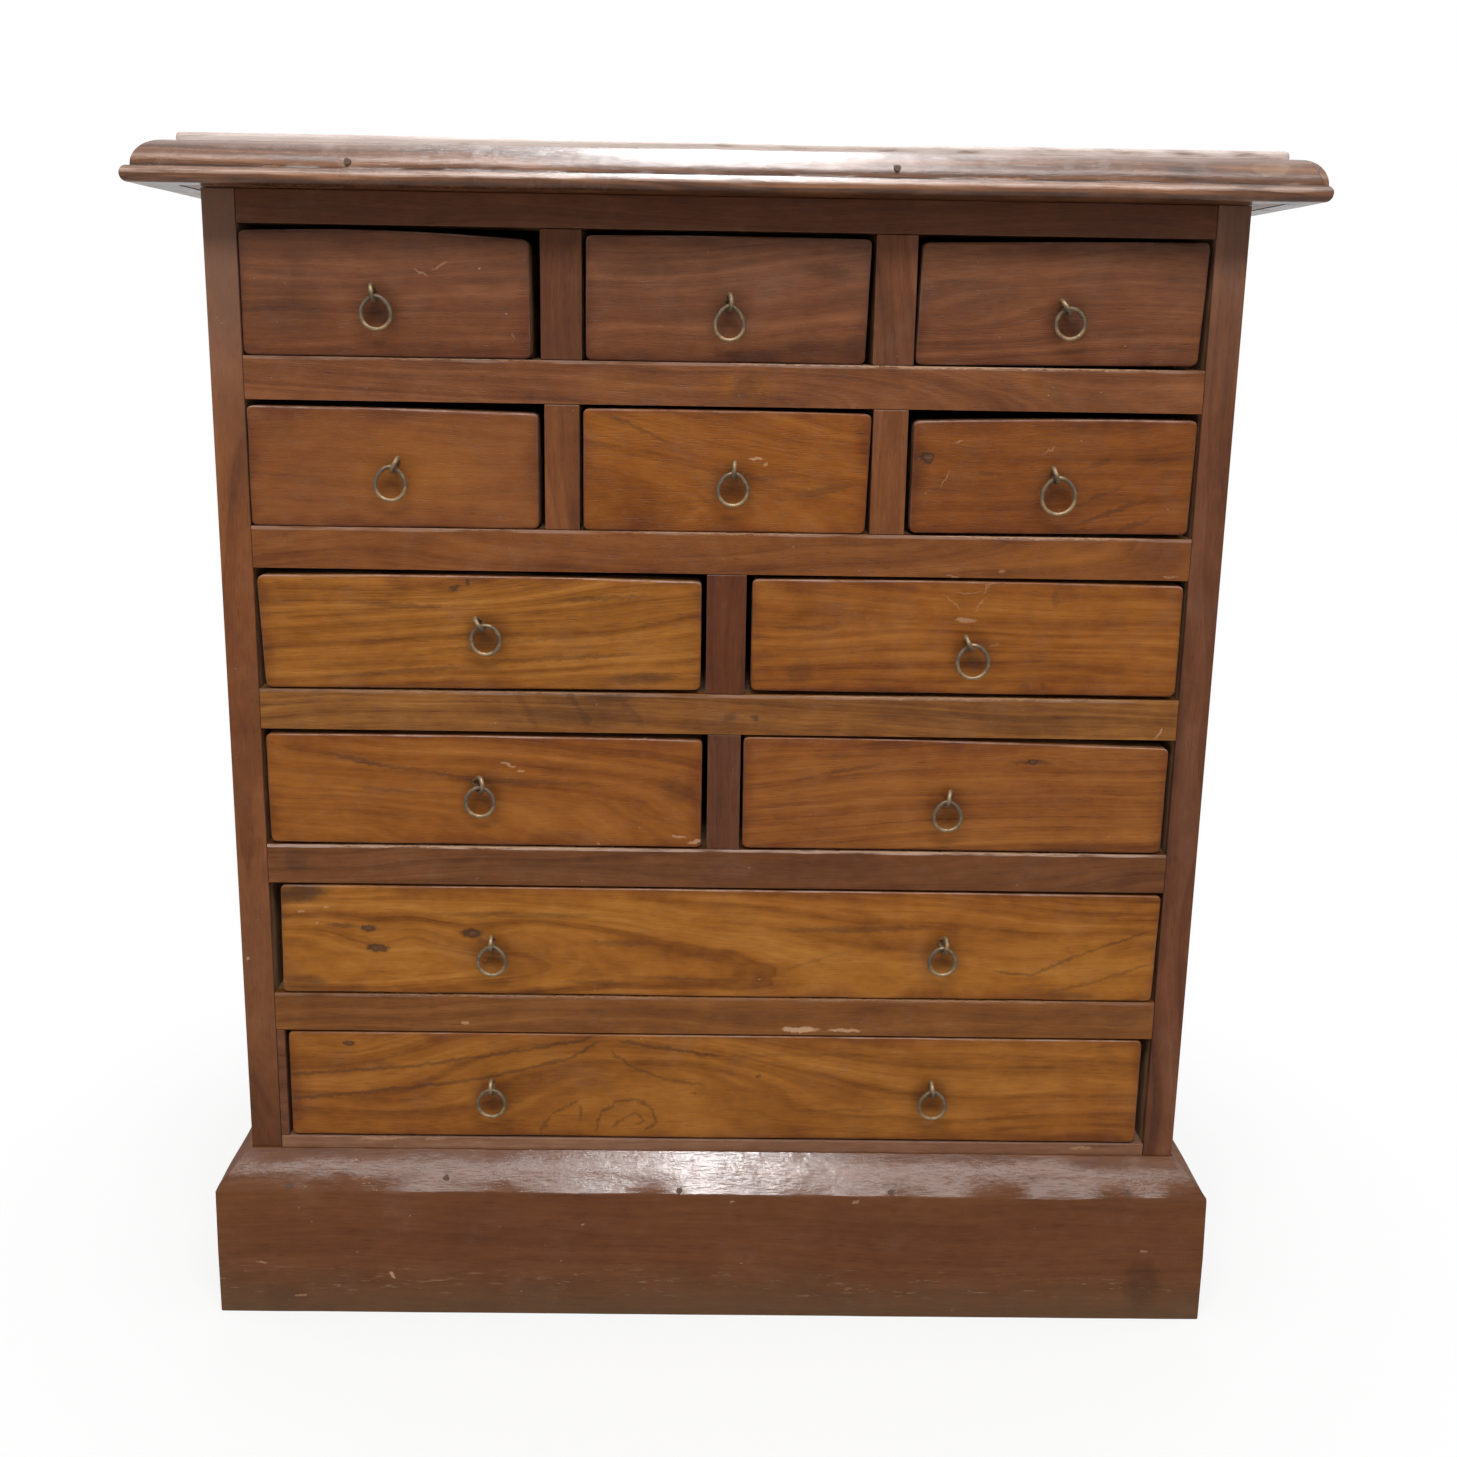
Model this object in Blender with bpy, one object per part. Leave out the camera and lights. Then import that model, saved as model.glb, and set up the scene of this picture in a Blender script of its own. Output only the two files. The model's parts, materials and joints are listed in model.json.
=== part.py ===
"""Teak chest of twelve drawers with moulded top, plinth and brass ring pulls.

The chest stands on z = 0, is centred on x = 0 and faces -Y.  All lengths are in metres.
"""

import math
from collections import namedtuple

import bmesh
import bpy
from mathutils import Matrix, Vector

# Fits
SEAT = 0.0003
OVERRUN = 0.003

# Carcase
CARCASE_WIDTH = 0.600
CARCASE_DEPTH = 0.330
PANEL_THICKNESS = 0.019
BACK_THICKNESS = 0.009
REBATE_WIDTH = 0.009
HOUSING_DEPTH = 0.006

# Rows of drawers, counted from the top
ROW_COUNT = 6
OPENING_HEIGHT = 0.074
RAIL_HEIGHT = 0.025
RAIL_DEPTH = 0.045
SHELF_THICKNESS = 0.012
TOP_RAIL_HEIGHT = 0.019
BOTTOM_THICKNESS = 0.018
BOTTOM_EDGE = 0.0078

# Dividers between the drawers of a row
THREE_DIVIDER_OFFSET = 0.0967
THREE_DIVIDER_SHIFT = 0.001
TWO_DIVIDER_SHIFT = 0.0027
ROW_1_DIVIDER = 0.024
ROW_2_DIVIDER = 0.0206
ROW_3_DIVIDER = 0.0239
ROW_4_DIVIDER = 0.0203
FILLER_WIDTH = 0.0055

# Plinth
PLINTH_HEIGHT = 0.108
PLINTH_PROJECTION = 0.020
PLINTH_ARRIS_HEIGHT = 0.087
PLINTH_ARRIS_RADIUS = 0.003
PLINTH_LAND = 0.0015

# Top board and the moulding nailed round it
TOP_THICKNESS = 0.0286
TOP_OVERHANG = 0.0345
BOARD_OVERHANG = 0.0097
BOARD_OVERHANG_RIGHT = 0.0163
BOARD_STEP = 0.0046
MOULDING_BEAD_HEIGHT = 0.0089
MOULDING_BEAD_DEPTH = 0.0036
MOULDING_QUIRK = 0.0048
MOULDING_QUIRK_RIGHT = 0.0014
OVOLO_WIDTH = 0.0165
OVOLO_WIDTH_RIGHT = 0.0135

# Drawers
DRAWER_BACK_ROOM = 0.005
FRONT_THICKNESS = 0.018
FRONT_EASE = 0.0016
SIDE_HEIGHT = 0.060
SIDE_THICKNESS = 0.009
SIDE_INSET = 0.0006
SIDE_LAP = 0.0006
DRAWER_BOTTOM_RAISE = 0.003
DRAWER_BOTTOM_THICKNESS = 0.005
WORN_GAP = 0.004
WORN_CORNER = 0.004

# Ring pulls
RING_DIAMETER = 0.020
RING_WIRE_RADIUS = 0.0013
EYE_INNER_RADIUS = 0.0042
EYE_WIRE_THICKNESS = 0.0015
EYE_WIRE_HALF_WIDTH = 0.00135
EYE_STANDOFF = 0.0078
EYE_LEG_GAP = 0.0003
EYE_LEG_SPREAD = 0.011
EYE_BEND_RADIUS = 0.0022
EYE_HOLE_RADIUS = 0.0022
LINK_GAP = 0.0004

# Outline steps
ROUND_STEPS = 3
TOP_EDGE_STEPS = 6
BEAD_STEPS = 6
OVOLO_STEPS = 6
RING_STEPS = 20
RING_SIDES = 6
EYE_LOOP_STEPS = 10
EYE_BEND_STEPS = 2
HOLE_SIDES = 12
EYE_NECK_ANGLE = math.radians(50)
EDGE_REST_ANGLE = math.radians(20)
WIRE_SMOOTH_ANGLE = math.radians(70)

# Levels and planes that follow from the sizes above
FRONT_Y = (TOP_OVERHANG - CARCASE_DEPTH) / 2
BACK_Y = FRONT_Y + CARCASE_DEPTH
BACK_PANEL_Y = BACK_Y - BACK_THICKNESS
DRAWER_LENGTH = BACK_PANEL_Y - DRAWER_BACK_ROOM - FRONT_Y
INNER_HALF = CARCASE_WIDTH / 2 - PANEL_THICKNESS
ROW_PITCH = OPENING_HEIGHT + RAIL_HEIGHT
LOWEST_FLOOR_Z = PLINTH_HEIGHT + BOTTOM_EDGE
CARCASE_TOP_Z = LOWEST_FLOOR_Z + ROW_COUNT * OPENING_HEIGHT + (ROW_COUNT - 1) * RAIL_HEIGHT + TOP_RAIL_HEIGHT
MOULDING_HEIGHT = TOP_THICKNESS - BOARD_STEP

Fit = namedtuple(
    "Fit",
    "left_low left_high right_low right_high top_left top_middle top_right"
    " under_left under_right round_left round_right",
)
Bay = namedtuple("Bay", "name row left right")
Pull = namedtuple("Pull", "name drawer across_share up_share tilt bend size_share drawn_share")

# How each drawer front has shrunk and worn: the gaps as shares of WORN_GAP, the rounds of WORN_CORNER
FIT_SHARES = {
    "drawer_1_left": Fit(0.1, 0.1, 1.35, 1.45, 0.9, 0.6, 1.6, 0.0, 0.0, 0.5, 1.4),
    "drawer_1_middle": Fit(0.45, 0.5, 1.05, 0.55, 0.8, 0.6, 0.75, 0.0, 0.0, 0.5, 0.8),
    "drawer_1_right": Fit(0.2, 0.6, 1.15, 0.55, 1.0, 0.6, 0.4, 0.1, 0.5, 1.0, 0.8),
    "drawer_2_left": Fit(0.1, 0.1, 0.85, 0.85, 0.8, 0.9, 1.35, 0.0, 0.0, 0.4, 0.8),
    "drawer_2_middle": Fit(0.45, 0.45, 0.65, 0.15, 0.5, 0.45, 0.7, 0.0, 0.0, 0.5, 0.9),
    "drawer_2_right": Fit(0.7, 0.8, 0.75, 0.4, 1.55, 1.0, 0.9, 0.3, 0.6, 0.6, 0.6),
    "drawer_3_left": Fit(1.0, 0.35, 0.7, 0.7, 1.0, 0.7, 1.1, 0.1, 0.5, 1.4, 0.9),
    "drawer_3_right": Fit(0.8, 0.8, 0.6, 0.55, 0.6, 0.45, 0.75, 0.6, 0.5, 0.4, 0.6),
    "drawer_4_left": Fit(0.65, 0.55, 0.8, 0.75, 0.75, 0.65, 0.9, 0.25, 0.2, 0.6, 0.6),
    "drawer_4_right": Fit(0.4, 0.35, 0.95, 0.9, 0.3, 0.5, 1.3, 0.25, 0.2, 0.4, 0.7),
    "drawer_5": Fit(1.4, 1.7, 0.6, 0.2, 0.35, 0.3, 0.45, 0.1, 0.1, 0.3, 0.8),
    "drawer_6": Fit(0.4, 0.4, 1.45, 1.5, 0.25, 0.2, 0.3, 0.2, 0.2, 0.3, 0.4),
}

# Where each pull sits: shares of the bay's half width from its middle, and of the opening's height.
# How far its eye leans over and is bent aside, in degrees.  The hand-bent ring's size as a share of
# RING_DIAMETER, and how far its top is drawn up as a share of its radius.
PULL_SHARES = (
    Pull("1_left", "drawer_1_left", -0.096, 0.494, -10, 0, 0.99, 0.14),
    Pull("1_middle", "drawer_1_middle", -0.010, 0.464, 0, 12, 0.96, 0.30),
    Pull("1_right", "drawer_1_right", -0.005, 0.469, -35, 0, 0.96, 0.06),
    Pull("2_left", "drawer_2_left", 0.006, 0.512, 26, 0, 1.02, 0.20),
    Pull("2_middle", "drawer_2_middle", 0.056, 0.513, 4, 0, 1.0, 0.16),
    Pull("2_right", "drawer_2_right", 0.005, 0.509, -20, 0, 1.12, 0.16),
    Pull("3_left", "drawer_3_left", 0.000, 0.578, -35, 0, 0.99, 0.04),
    Pull("3_right", "drawer_3_right", 0.008, 0.478, -28, 0, 1.07, 0.16),
    Pull("4_left", "drawer_4_left", -0.050, 0.566, 0, 31, 1.0, 0.10),
    Pull("4_right", "drawer_4_right", -0.026, 0.500, 5, -12, 0.97, 0.20),
    Pull("5_left", "drawer_5", -0.503, 0.510, 0, 0, 0.99, 0.16),
    Pull("5_right", "drawer_5", 0.504, 0.546, 6, 12, 0.96, 0.14),
    Pull("6_left", "drawer_6", -0.525, 0.530, 0, 0, 1.0, 0.08),
    Pull("6_right", "drawer_6", 0.491, 0.555, -5, 0, 0.97, 0.18),
)

# Half-round wire: shares of its thickness and of its half width, flat side first
HALF_ROUND_SHARES = ((0, -1), (0.55, -0.85), (1, -0.35), (1, 0.35), (0.55, 0.85), (0, 1))


def clear_scene():
    """Remove whatever the file holds."""
    for obj in list(bpy.data.objects):
        bpy.data.objects.remove(obj, do_unlink=True)


def material(name, colour, roughness, metallic=0.0):
    """A Principled material with one colour."""
    made = bpy.data.materials.new(name)
    made.use_nodes = True
    shader = made.node_tree.nodes["Principled BSDF"]
    shader.inputs["Base Color"].default_value = (*colour, 1.0)
    shader.inputs["Roughness"].default_value = roughness
    shader.inputs["Metallic"].default_value = metallic
    return made


def frame_teak():
    return material("frame_teak", (0.155, 0.058, 0.030), 0.45)


def front_teak():
    return material("front_teak", (0.270, 0.105, 0.035), 0.42)


def back_board():
    return material("back_board", (0.200, 0.100, 0.055), 0.70)


def aged_brass():
    return material("aged_brass", (0.300, 0.220, 0.110), 0.38, 1.0)


def add_object(name, bm, surface, origin=(0, 0, 0)):
    """Turn a bmesh into a named object with its origin at a point."""
    bmesh.ops.recalc_face_normals(bm, faces=bm.faces)
    mesh = bpy.data.meshes.new(name)
    bm.to_mesh(mesh)
    bm.free()
    if surface:
        mesh.materials.append(surface)
    obj = bpy.data.objects.new(name, mesh)
    obj.location = origin
    bpy.context.scene.collection.objects.link(obj)
    return obj


def add_block(bm, low, high):
    """A box between two corners."""
    low, high = Vector(low), Vector(high)
    place = Matrix.Translation((low + high) / 2) @ Matrix.Diagonal((*(high - low), 1))
    bmesh.ops.create_cube(bm, size=1, matrix=place)


def closed_prism(outline, start, end):
    """A prism with both its ends, in a bmesh of its own."""
    bm = bmesh.new()
    rings = [[bm.verts.new(Vector(p) + Vector(offset)) for p in outline] for offset in (start, end)]
    bridge(bm, rings, closed=False)
    bm.faces.new(rings[0])
    bm.faces.new(rings[1])
    return bm


def bridge(bm, rings, closed):
    """Quads between neighbouring rings of vertices."""
    count = len(rings)
    for index in range(count if closed else count - 1):
        here, there = rings[index], rings[(index + 1) % count]
        for side in range(len(here)):
            after = (side + 1) % len(here)
            bm.faces.new((here[side], here[after], there[after], there[side]))


def boolean(obj, cutter, operation):
    """Join a guide body to an object, or cut it away."""
    cutter.hide_render = True
    cutter.display_type = "WIRE"
    cutter.parent = obj.parent
    step = obj.modifiers.new(cutter.name, "BOOLEAN")
    step.operation = operation
    step.object = cutter
    step.solver = "EXACT"


def floor_z(row):
    """Height of the surface that the drawers of a row run on."""
    return LOWEST_FLOOR_Z + (ROW_COUNT - row) * ROW_PITCH


def ceiling_z(row):
    return floor_z(row) + OPENING_HEIGHT


def gap(share):
    """Clearance of a worn drawer front on one side."""
    return SEAT + share * WORN_GAP


def divider_edges(row):
    """The left and right faces of each divider of a row."""
    if row in (1, 2):
        width = ROW_1_DIVIDER if row == 1 else ROW_2_DIVIDER
        middles = (THREE_DIVIDER_SHIFT - THREE_DIVIDER_OFFSET, THREE_DIVIDER_SHIFT + THREE_DIVIDER_OFFSET)
    elif row in (3, 4):
        width = ROW_3_DIVIDER if row == 3 else ROW_4_DIVIDER
        middles = (TWO_DIVIDER_SHIFT,)
    else:
        return []
    return [(middle - width / 2, middle + width / 2) for middle in middles]


def bays():
    """The twelve openings, with the x of their two sides."""
    found = []
    for row in range(1, ROW_COUNT + 1):
        left = -INNER_HALF + (FILLER_WIDTH + SEAT if row == ROW_COUNT else 0)
        walls = [left] + [x for pair in divider_edges(row) for x in pair] + [INNER_HALF]
        sides = list(zip(walls[::2], walls[1::2]))
        labels = {1: [""], 2: ["_left", "_right"], 3: ["_left", "_middle", "_right"]}[len(sides)]
        found += [Bay(f"drawer_{row}{label}", row, *pair) for label, pair in zip(labels, sides)]
    return found


def make_side_panel(side, surface):
    """One side, housed for the shelves and bottom and rebated for the back."""
    name = "side_panel_left" if side < 0 else "side_panel_right"
    inner, outer = side * INNER_HALF, side * CARCASE_WIDTH / 2
    bm = bmesh.new()
    add_block(bm, (min(inner, outer), FRONT_Y, 0), (max(inner, outer), BACK_Y, CARCASE_TOP_Z))
    panel = add_object(name, bm, surface)

    housings = bmesh.new()
    near, far = inner - side * OVERRUN, inner + side * HOUSING_DEPTH
    for row in range(1, ROW_COUNT + 1):
        thickness = BOTTOM_THICKNESS if row == ROW_COUNT else SHELF_THICKNESS
        low = (min(near, far), FRONT_Y + RAIL_DEPTH, floor_z(row) - thickness - SEAT)
        high = (max(near, far), BACK_Y + OVERRUN, floor_z(row) + SEAT)
        add_block(housings, low, high)
    boolean(panel, add_object(name + "_housings", housings, None), "DIFFERENCE")

    rebate = bmesh.new()
    far = inner + side * REBATE_WIDTH
    low = (min(near, far), BACK_PANEL_Y - SEAT, floor_z(ROW_COUNT) - BOTTOM_THICKNESS - SEAT)
    high = (max(near, far), BACK_Y + OVERRUN, CARCASE_TOP_Z + OVERRUN)
    add_block(rebate, low, high)
    boolean(panel, add_object(name + "_rebate", rebate, None), "DIFFERENCE")


def make_shelf(name, row, rail_height, thickness, surface):
    """A board with a deeper front rail, its ends notched to clear the front of the sides."""
    top = floor_z(row)
    back = BACK_PANEL_Y - SEAT
    half = INNER_HALF + HOUSING_DEPTH - SEAT
    profile = [(0, FRONT_Y, top), (0, back, top), (0, back, top - thickness)]
    if rail_height > thickness:
        profile += [(0, FRONT_Y + RAIL_DEPTH, top - thickness), (0, FRONT_Y + RAIL_DEPTH, top - rail_height)]
    profile.append((0, FRONT_Y, top - rail_height))
    shelf = add_object(name, closed_prism(profile, (-half, 0, 0), (half, 0, 0)), surface)

    notches = bmesh.new()
    for side in (-1, 1):
        near, far = side * (INNER_HALF - SEAT), side * (half + OVERRUN)
        low = (min(near, far), FRONT_Y - OVERRUN, top - rail_height - OVERRUN)
        high = (max(near, far), FRONT_Y + RAIL_DEPTH + SEAT, top + OVERRUN)
        add_block(notches, low, high)
    boolean(shelf, add_object(name + "_notches", notches, None), "DIFFERENCE")


def make_shelves(surface):
    for row in range(1, ROW_COUNT):
        make_shelf(f"shelf_{row}", row, RAIL_HEIGHT, SHELF_THICKNESS, surface)
    make_shelf("bottom_board", ROW_COUNT, BOTTOM_THICKNESS, BOTTOM_THICKNESS, surface)


def make_top_rail(surface):
    bm = bmesh.new()
    low = (SEAT - INNER_HALF, FRONT_Y, ceiling_z(1))
    high = (INNER_HALF - SEAT, FRONT_Y + RAIL_DEPTH, CARCASE_TOP_Z)
    add_block(bm, low, high)
    add_object("top_rail", bm, surface)


def make_dividers(surface):
    """Upright boards between the drawers, notched round the rail above."""
    for row in range(1, 5):
        edges = divider_edges(row)
        labels = ["_left", "_right"] if len(edges) > 1 else [""]
        above = CARCASE_TOP_Z if row == 1 else ceiling_z(row) + RAIL_HEIGHT - SHELF_THICKNESS
        low, step, high = floor_z(row) + SEAT, ceiling_z(row) - SEAT, above - SEAT
        notch, back = FRONT_Y + RAIL_DEPTH + SEAT, BACK_PANEL_Y - SEAT
        profile = [
            (0, FRONT_Y, low),
            (0, back, low),
            (0, back, high),
            (0, notch, high),
            (0, notch, step),
            (0, FRONT_Y, step),
        ]
        for label, (left, right) in zip(labels, edges):
            add_object(f"divider_{row}{label}", closed_prism(profile, (left, 0, 0), (right, 0, 0)), surface)


def make_filler_strip(surface):
    """The guide strip beside the lowest drawer."""
    bm = bmesh.new()
    low = (SEAT - INNER_HALF, FRONT_Y, floor_z(ROW_COUNT) + SEAT)
    high = (FILLER_WIDTH - INNER_HALF, BACK_PANEL_Y - SEAT, ceiling_z(ROW_COUNT) - SEAT)
    add_block(bm, low, high)
    add_object("filler_strip", bm, surface)


def make_back_panel(surface):
    bm = bmesh.new()
    half = INNER_HALF + REBATE_WIDTH - SEAT
    low = (-half, BACK_PANEL_Y, floor_z(ROW_COUNT) - BOTTOM_THICKNESS)
    high = (half, BACK_Y, CARCASE_TOP_Z)
    add_block(bm, low, high)
    add_object("back_panel", bm, surface)


def make_top_board(surface):
    bm = bmesh.new()
    half = CARCASE_WIDTH / 2
    low = (-half - BOARD_OVERHANG, FRONT_Y - BOARD_OVERHANG, CARCASE_TOP_Z + SEAT)
    high = (half + BOARD_OVERHANG_RIGHT, BACK_Y, CARCASE_TOP_Z + SEAT + TOP_THICKNESS)
    add_block(bm, low, high)
    add_object("top_board", bm, surface)


def arc(centre, radii, start, end, steps):
    """Points of an elliptical arc in a profile."""
    points = []
    for step in range(steps + 1):
        angle = start + (end - start) * step / steps
        points.append((centre[0] + radii[0] * math.cos(angle), centre[1] + radii[1] * math.sin(angle)))
    return points


def mitred_run(name, profile, base_z, surface, right_profile=None):
    """A profile of (projection, height) run along the front and back along both sides, mitred at the corners.

    The right side may have a profile of its own with the same heights.
    """
    bm = bmesh.new()
    half = CARCASE_WIDTH / 2
    stations = []
    for side, at_back in ((-1, True), (-1, False), (1, False), (1, True)):
        station = []
        beside = right_profile if right_profile and side > 0 else profile
        for (out, height), (aside, _) in zip(profile, beside):
            y = BACK_Y if at_back else FRONT_Y - out
            station.append(bm.verts.new((side * (half + aside), y, base_z + height)))
        stations.append(station)
    bridge(bm, stations, closed=False)
    bm.faces.new(stations[0])
    bm.faces.new(stations[-1])
    return add_object(name, bm, surface)


def moulding_profile(board_overhang, quirk, ovolo_width):
    """Ovolo over a quirk and a half-round bead."""
    inner = board_overhang + SEAT
    half_height = MOULDING_BEAD_HEIGHT / 2
    bead_centre = (TOP_OVERHANG - MOULDING_BEAD_DEPTH, half_height)
    bead = arc(bead_centre, (MOULDING_BEAD_DEPTH, half_height), -math.pi / 2, math.pi / 2, BEAD_STEPS)
    ovolo_centre = (TOP_OVERHANG - quirk - ovolo_width, MOULDING_BEAD_HEIGHT)
    ovolo_radii = (ovolo_width, MOULDING_HEIGHT - MOULDING_BEAD_HEIGHT)
    ovolo = arc(ovolo_centre, ovolo_radii, 0, math.pi / 2, OVOLO_STEPS)
    return [(inner, 0)] + bead + ovolo + [(inner, MOULDING_HEIGHT)]


def make_top_moulding(surface):
    """Moulding whose right side was set further out than its front and left side."""
    profile = moulding_profile(BOARD_OVERHANG, MOULDING_QUIRK, OVOLO_WIDTH)
    right_profile = moulding_profile(BOARD_OVERHANG_RIGHT, MOULDING_QUIRK_RIGHT, OVOLO_WIDTH_RIGHT)
    mitred_run("top_moulding", profile, CARCASE_TOP_Z + SEAT, surface, right_profile)


def make_plinth(surface):
    """Skirting with a broad chamfer whose lower arris is rounded."""
    slope = math.atan2(PLINTH_HEIGHT - PLINTH_ARRIS_HEIGHT, PLINTH_PROJECTION - PLINTH_LAND)
    turn = math.pi / 2 - slope
    setback = PLINTH_ARRIS_RADIUS * math.tan(turn / 2)
    centre = (PLINTH_PROJECTION - PLINTH_ARRIS_RADIUS, PLINTH_ARRIS_HEIGHT - setback)
    arris = arc(centre, (PLINTH_ARRIS_RADIUS, PLINTH_ARRIS_RADIUS), 0, turn, ROUND_STEPS)
    profile = [(SEAT, 0), (PLINTH_PROJECTION, 0)] + arris + [(PLINTH_LAND, PLINTH_HEIGHT), (SEAT, PLINTH_HEIGHT)]
    mitred_run("plinth", profile, 0, surface)


def bend(start, corner, end):
    """A rounded corner between two points."""
    points = []
    for step in range(ROUND_STEPS + 1):
        t = step / ROUND_STEPS
        points.append(start * (1 - t) ** 2 + corner * 2 * t * (1 - t) + end * t ** 2)
    return points


def front_outline(width, fit):
    """Outline of a worn drawer front about the middle of its bay's floor."""
    half = width / 2
    low_left = Vector((-half + gap(fit.left_low), 0, gap(fit.under_left)))
    low_right = Vector((half - gap(fit.right_low), 0, gap(fit.under_right)))
    left, right = -half + gap(fit.left_high), half - gap(fit.right_high)

    def top_edge(x):
        t = (x - left) / (right - left)
        drop = gap(fit.top_left) * (1 - t) * (1 - 2 * t)
        drop += gap(fit.top_middle) * 4 * t * (1 - t) + gap(fit.top_right) * t * (2 * t - 1)
        return Vector((x, 0, OPENING_HEIGHT - drop))

    round_left, round_right = fit.round_left * WORN_CORNER, fit.round_right * WORN_CORNER
    high_left, high_right = top_edge(left), top_edge(right)
    left_start = high_left + (low_left - high_left).normalized() * round_left
    right_start = high_right + (low_right - high_right).normalized() * round_right
    start, end = right - round_right, left + round_left
    middle = [top_edge(start + (end - start) * step / TOP_EDGE_STEPS) for step in range(1, TOP_EDGE_STEPS)]
    right_round = bend(right_start, high_right, top_edge(start))
    left_round = bend(top_edge(end), high_left, left_start)
    return [low_left, low_right] + right_round + middle + left_round


def make_drawer(bay, surface):
    """A drawer: worn front with eased edges, and a tray of sides, back and raised bottom."""
    fit = FIT_SHARES[bay.name]
    width = bay.right - bay.left
    origin = Vector(((bay.left + bay.right) / 2, FRONT_Y, floor_z(bay.row)))
    bm = closed_prism(front_outline(width, fit), (0, FRONT_EASE, 0), (0, FRONT_THICKNESS, 0))
    bmesh.ops.recalc_face_normals(bm, faces=bm.faces)
    face = min(bm.faces, key=lambda item: item.calc_center_median().y)
    bmesh.ops.inset_region(bm, faces=[face], thickness=FRONT_EASE, depth=FRONT_EASE, use_even_offset=True)
    drawer = add_object(bay.name, bm, surface, origin)

    left = -width / 2 + gap(max(fit.left_low, fit.left_high)) + SIDE_INSET
    right = width / 2 - gap(max(fit.right_low, fit.right_high)) - SIDE_INSET
    tray = bmesh.new()
    add_block(tray, (left, FRONT_THICKNESS - SIDE_LAP, SEAT), (right, DRAWER_LENGTH, SEAT + SIDE_HEIGHT))
    boolean(drawer, add_object(bay.name + "_tray", tray, None, origin), "UNION")

    hollow = bmesh.new()
    board_low = SEAT + DRAWER_BOTTOM_RAISE
    board_high = board_low + DRAWER_BOTTOM_THICKNESS
    near, far = FRONT_THICKNESS, DRAWER_LENGTH - SIDE_THICKNESS
    add_block(
        hollow,
        (left + SIDE_THICKNESS, near, board_high),
        (right - SIDE_THICKNESS, far, SEAT + SIDE_HEIGHT + OVERRUN),
    )
    add_block(hollow, (left + SIDE_THICKNESS, near, -OVERRUN), (right - SIDE_THICKNESS, far, board_low))
    boolean(drawer, add_object(bay.name + "_hollow", hollow, None, origin), "DIFFERENCE")

    holes = bmesh.new()
    for pull in (item for item in PULL_SHARES if item.drawer == bay.name):
        ends = Matrix.Translation(pull_place(pull, bay) + Vector((0, FRONT_THICKNESS / 2, 0)))
        bmesh.ops.create_cone(
            holes,
            cap_ends=True,
            segments=HOLE_SIDES,
            radius1=EYE_HOLE_RADIUS,
            radius2=EYE_HOLE_RADIUS,
            depth=FRONT_THICKNESS + OVERRUN,
            matrix=ends @ Matrix.Rotation(math.pi / 2, 4, "X"),
        )
    boolean(drawer, add_object(bay.name + "_pin_holes", holes, None, origin), "DIFFERENCE")
    return drawer


def pull_place(pull, bay):
    """Where the pin enters the front, about the middle of the bay's floor."""
    return Vector((pull.across_share * (bay.right - bay.left) / 2, 0, pull.up_share * OPENING_HEIGHT))


def sweep(bm, path, frames, section, closed):
    """A tube of one section along a path, each frame holding its outward and sideways axes."""
    rings = []
    for point, (outward, sideways) in zip(path, frames):
        rings.append([bm.verts.new(point + outward * a + sideways * b) for a, b in section])
    bridge(bm, rings, closed)
    if not closed:
        bm.faces.new(rings[0])
        bm.faces.new(rings[-1])


def eye_path(bend):
    """The flat side of the pin's wire, from one splayed leg round the eye to the other, with each point's side axis."""
    flat_y = FRONT_THICKNESS + SEAT + EYE_WIRE_THICKNESS
    leg = EYE_LEG_GAP / 2
    half = [(flat_y, EYE_LEG_SPREAD)]
    centre = (flat_y - EYE_BEND_RADIUS, leg + EYE_BEND_RADIUS)
    half += arc(centre, (EYE_BEND_RADIUS, EYE_BEND_RADIUS), 0, -math.pi / 2, EYE_BEND_STEPS)
    half.append((0, leg))
    loop_end = 2 * math.pi - EYE_NECK_ANGLE
    loop = arc((-EYE_STANDOFF, 0), (EYE_INNER_RADIUS, EYE_INNER_RADIUS), EYE_NECK_ANGLE, loop_end, EYE_LOOP_STEPS)
    other = [(y, -z) for y, z in reversed(half)]
    path, sides = [], []
    for y, z in half + loop + other:
        angle = bend if y < 0 else bend / 2 if y == 0 else 0
        aside = Matrix.Rotation(angle, 3, "Z")
        path.append(aside @ Vector((0, y, z)))
        sides.append(aside @ Vector((1, 0, 0)) / math.cos(bend / 2 if y == 0 else 0))
    return path, sides


def make_eye(pull, place, parent, surface):
    """A split pin of half-round wire: eye, two legs through the front, ends splayed behind it."""
    bm = bmesh.new()
    path, sides = eye_path(math.radians(pull.bend))
    frames = []
    for index, sideways in enumerate(sides):
        ahead = path[min(index + 1, len(path) - 1)] - path[index]
        behind = path[index] - path[max(index - 1, 0)]
        along = ahead.normalized() + behind.normalized()
        outward = along.cross(sideways).normalized()
        stretch = 1.0
        if ahead.length and behind.length:
            stretch = 1 / outward.dot(ahead.cross(sideways).normalized())
        frames.append((outward * stretch, sideways))
    section = [(a * EYE_WIRE_THICKNESS, b * EYE_WIRE_HALF_WIDTH) for a, b in HALF_ROUND_SHARES]
    sweep(bm, path, frames, section, closed=False)
    eye = add_object("eye_" + pull.name, bm, surface, place)
    eye.rotation_euler = (0, math.radians(pull.tilt), 0)
    eye.parent = parent
    shade_round(eye)


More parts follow.
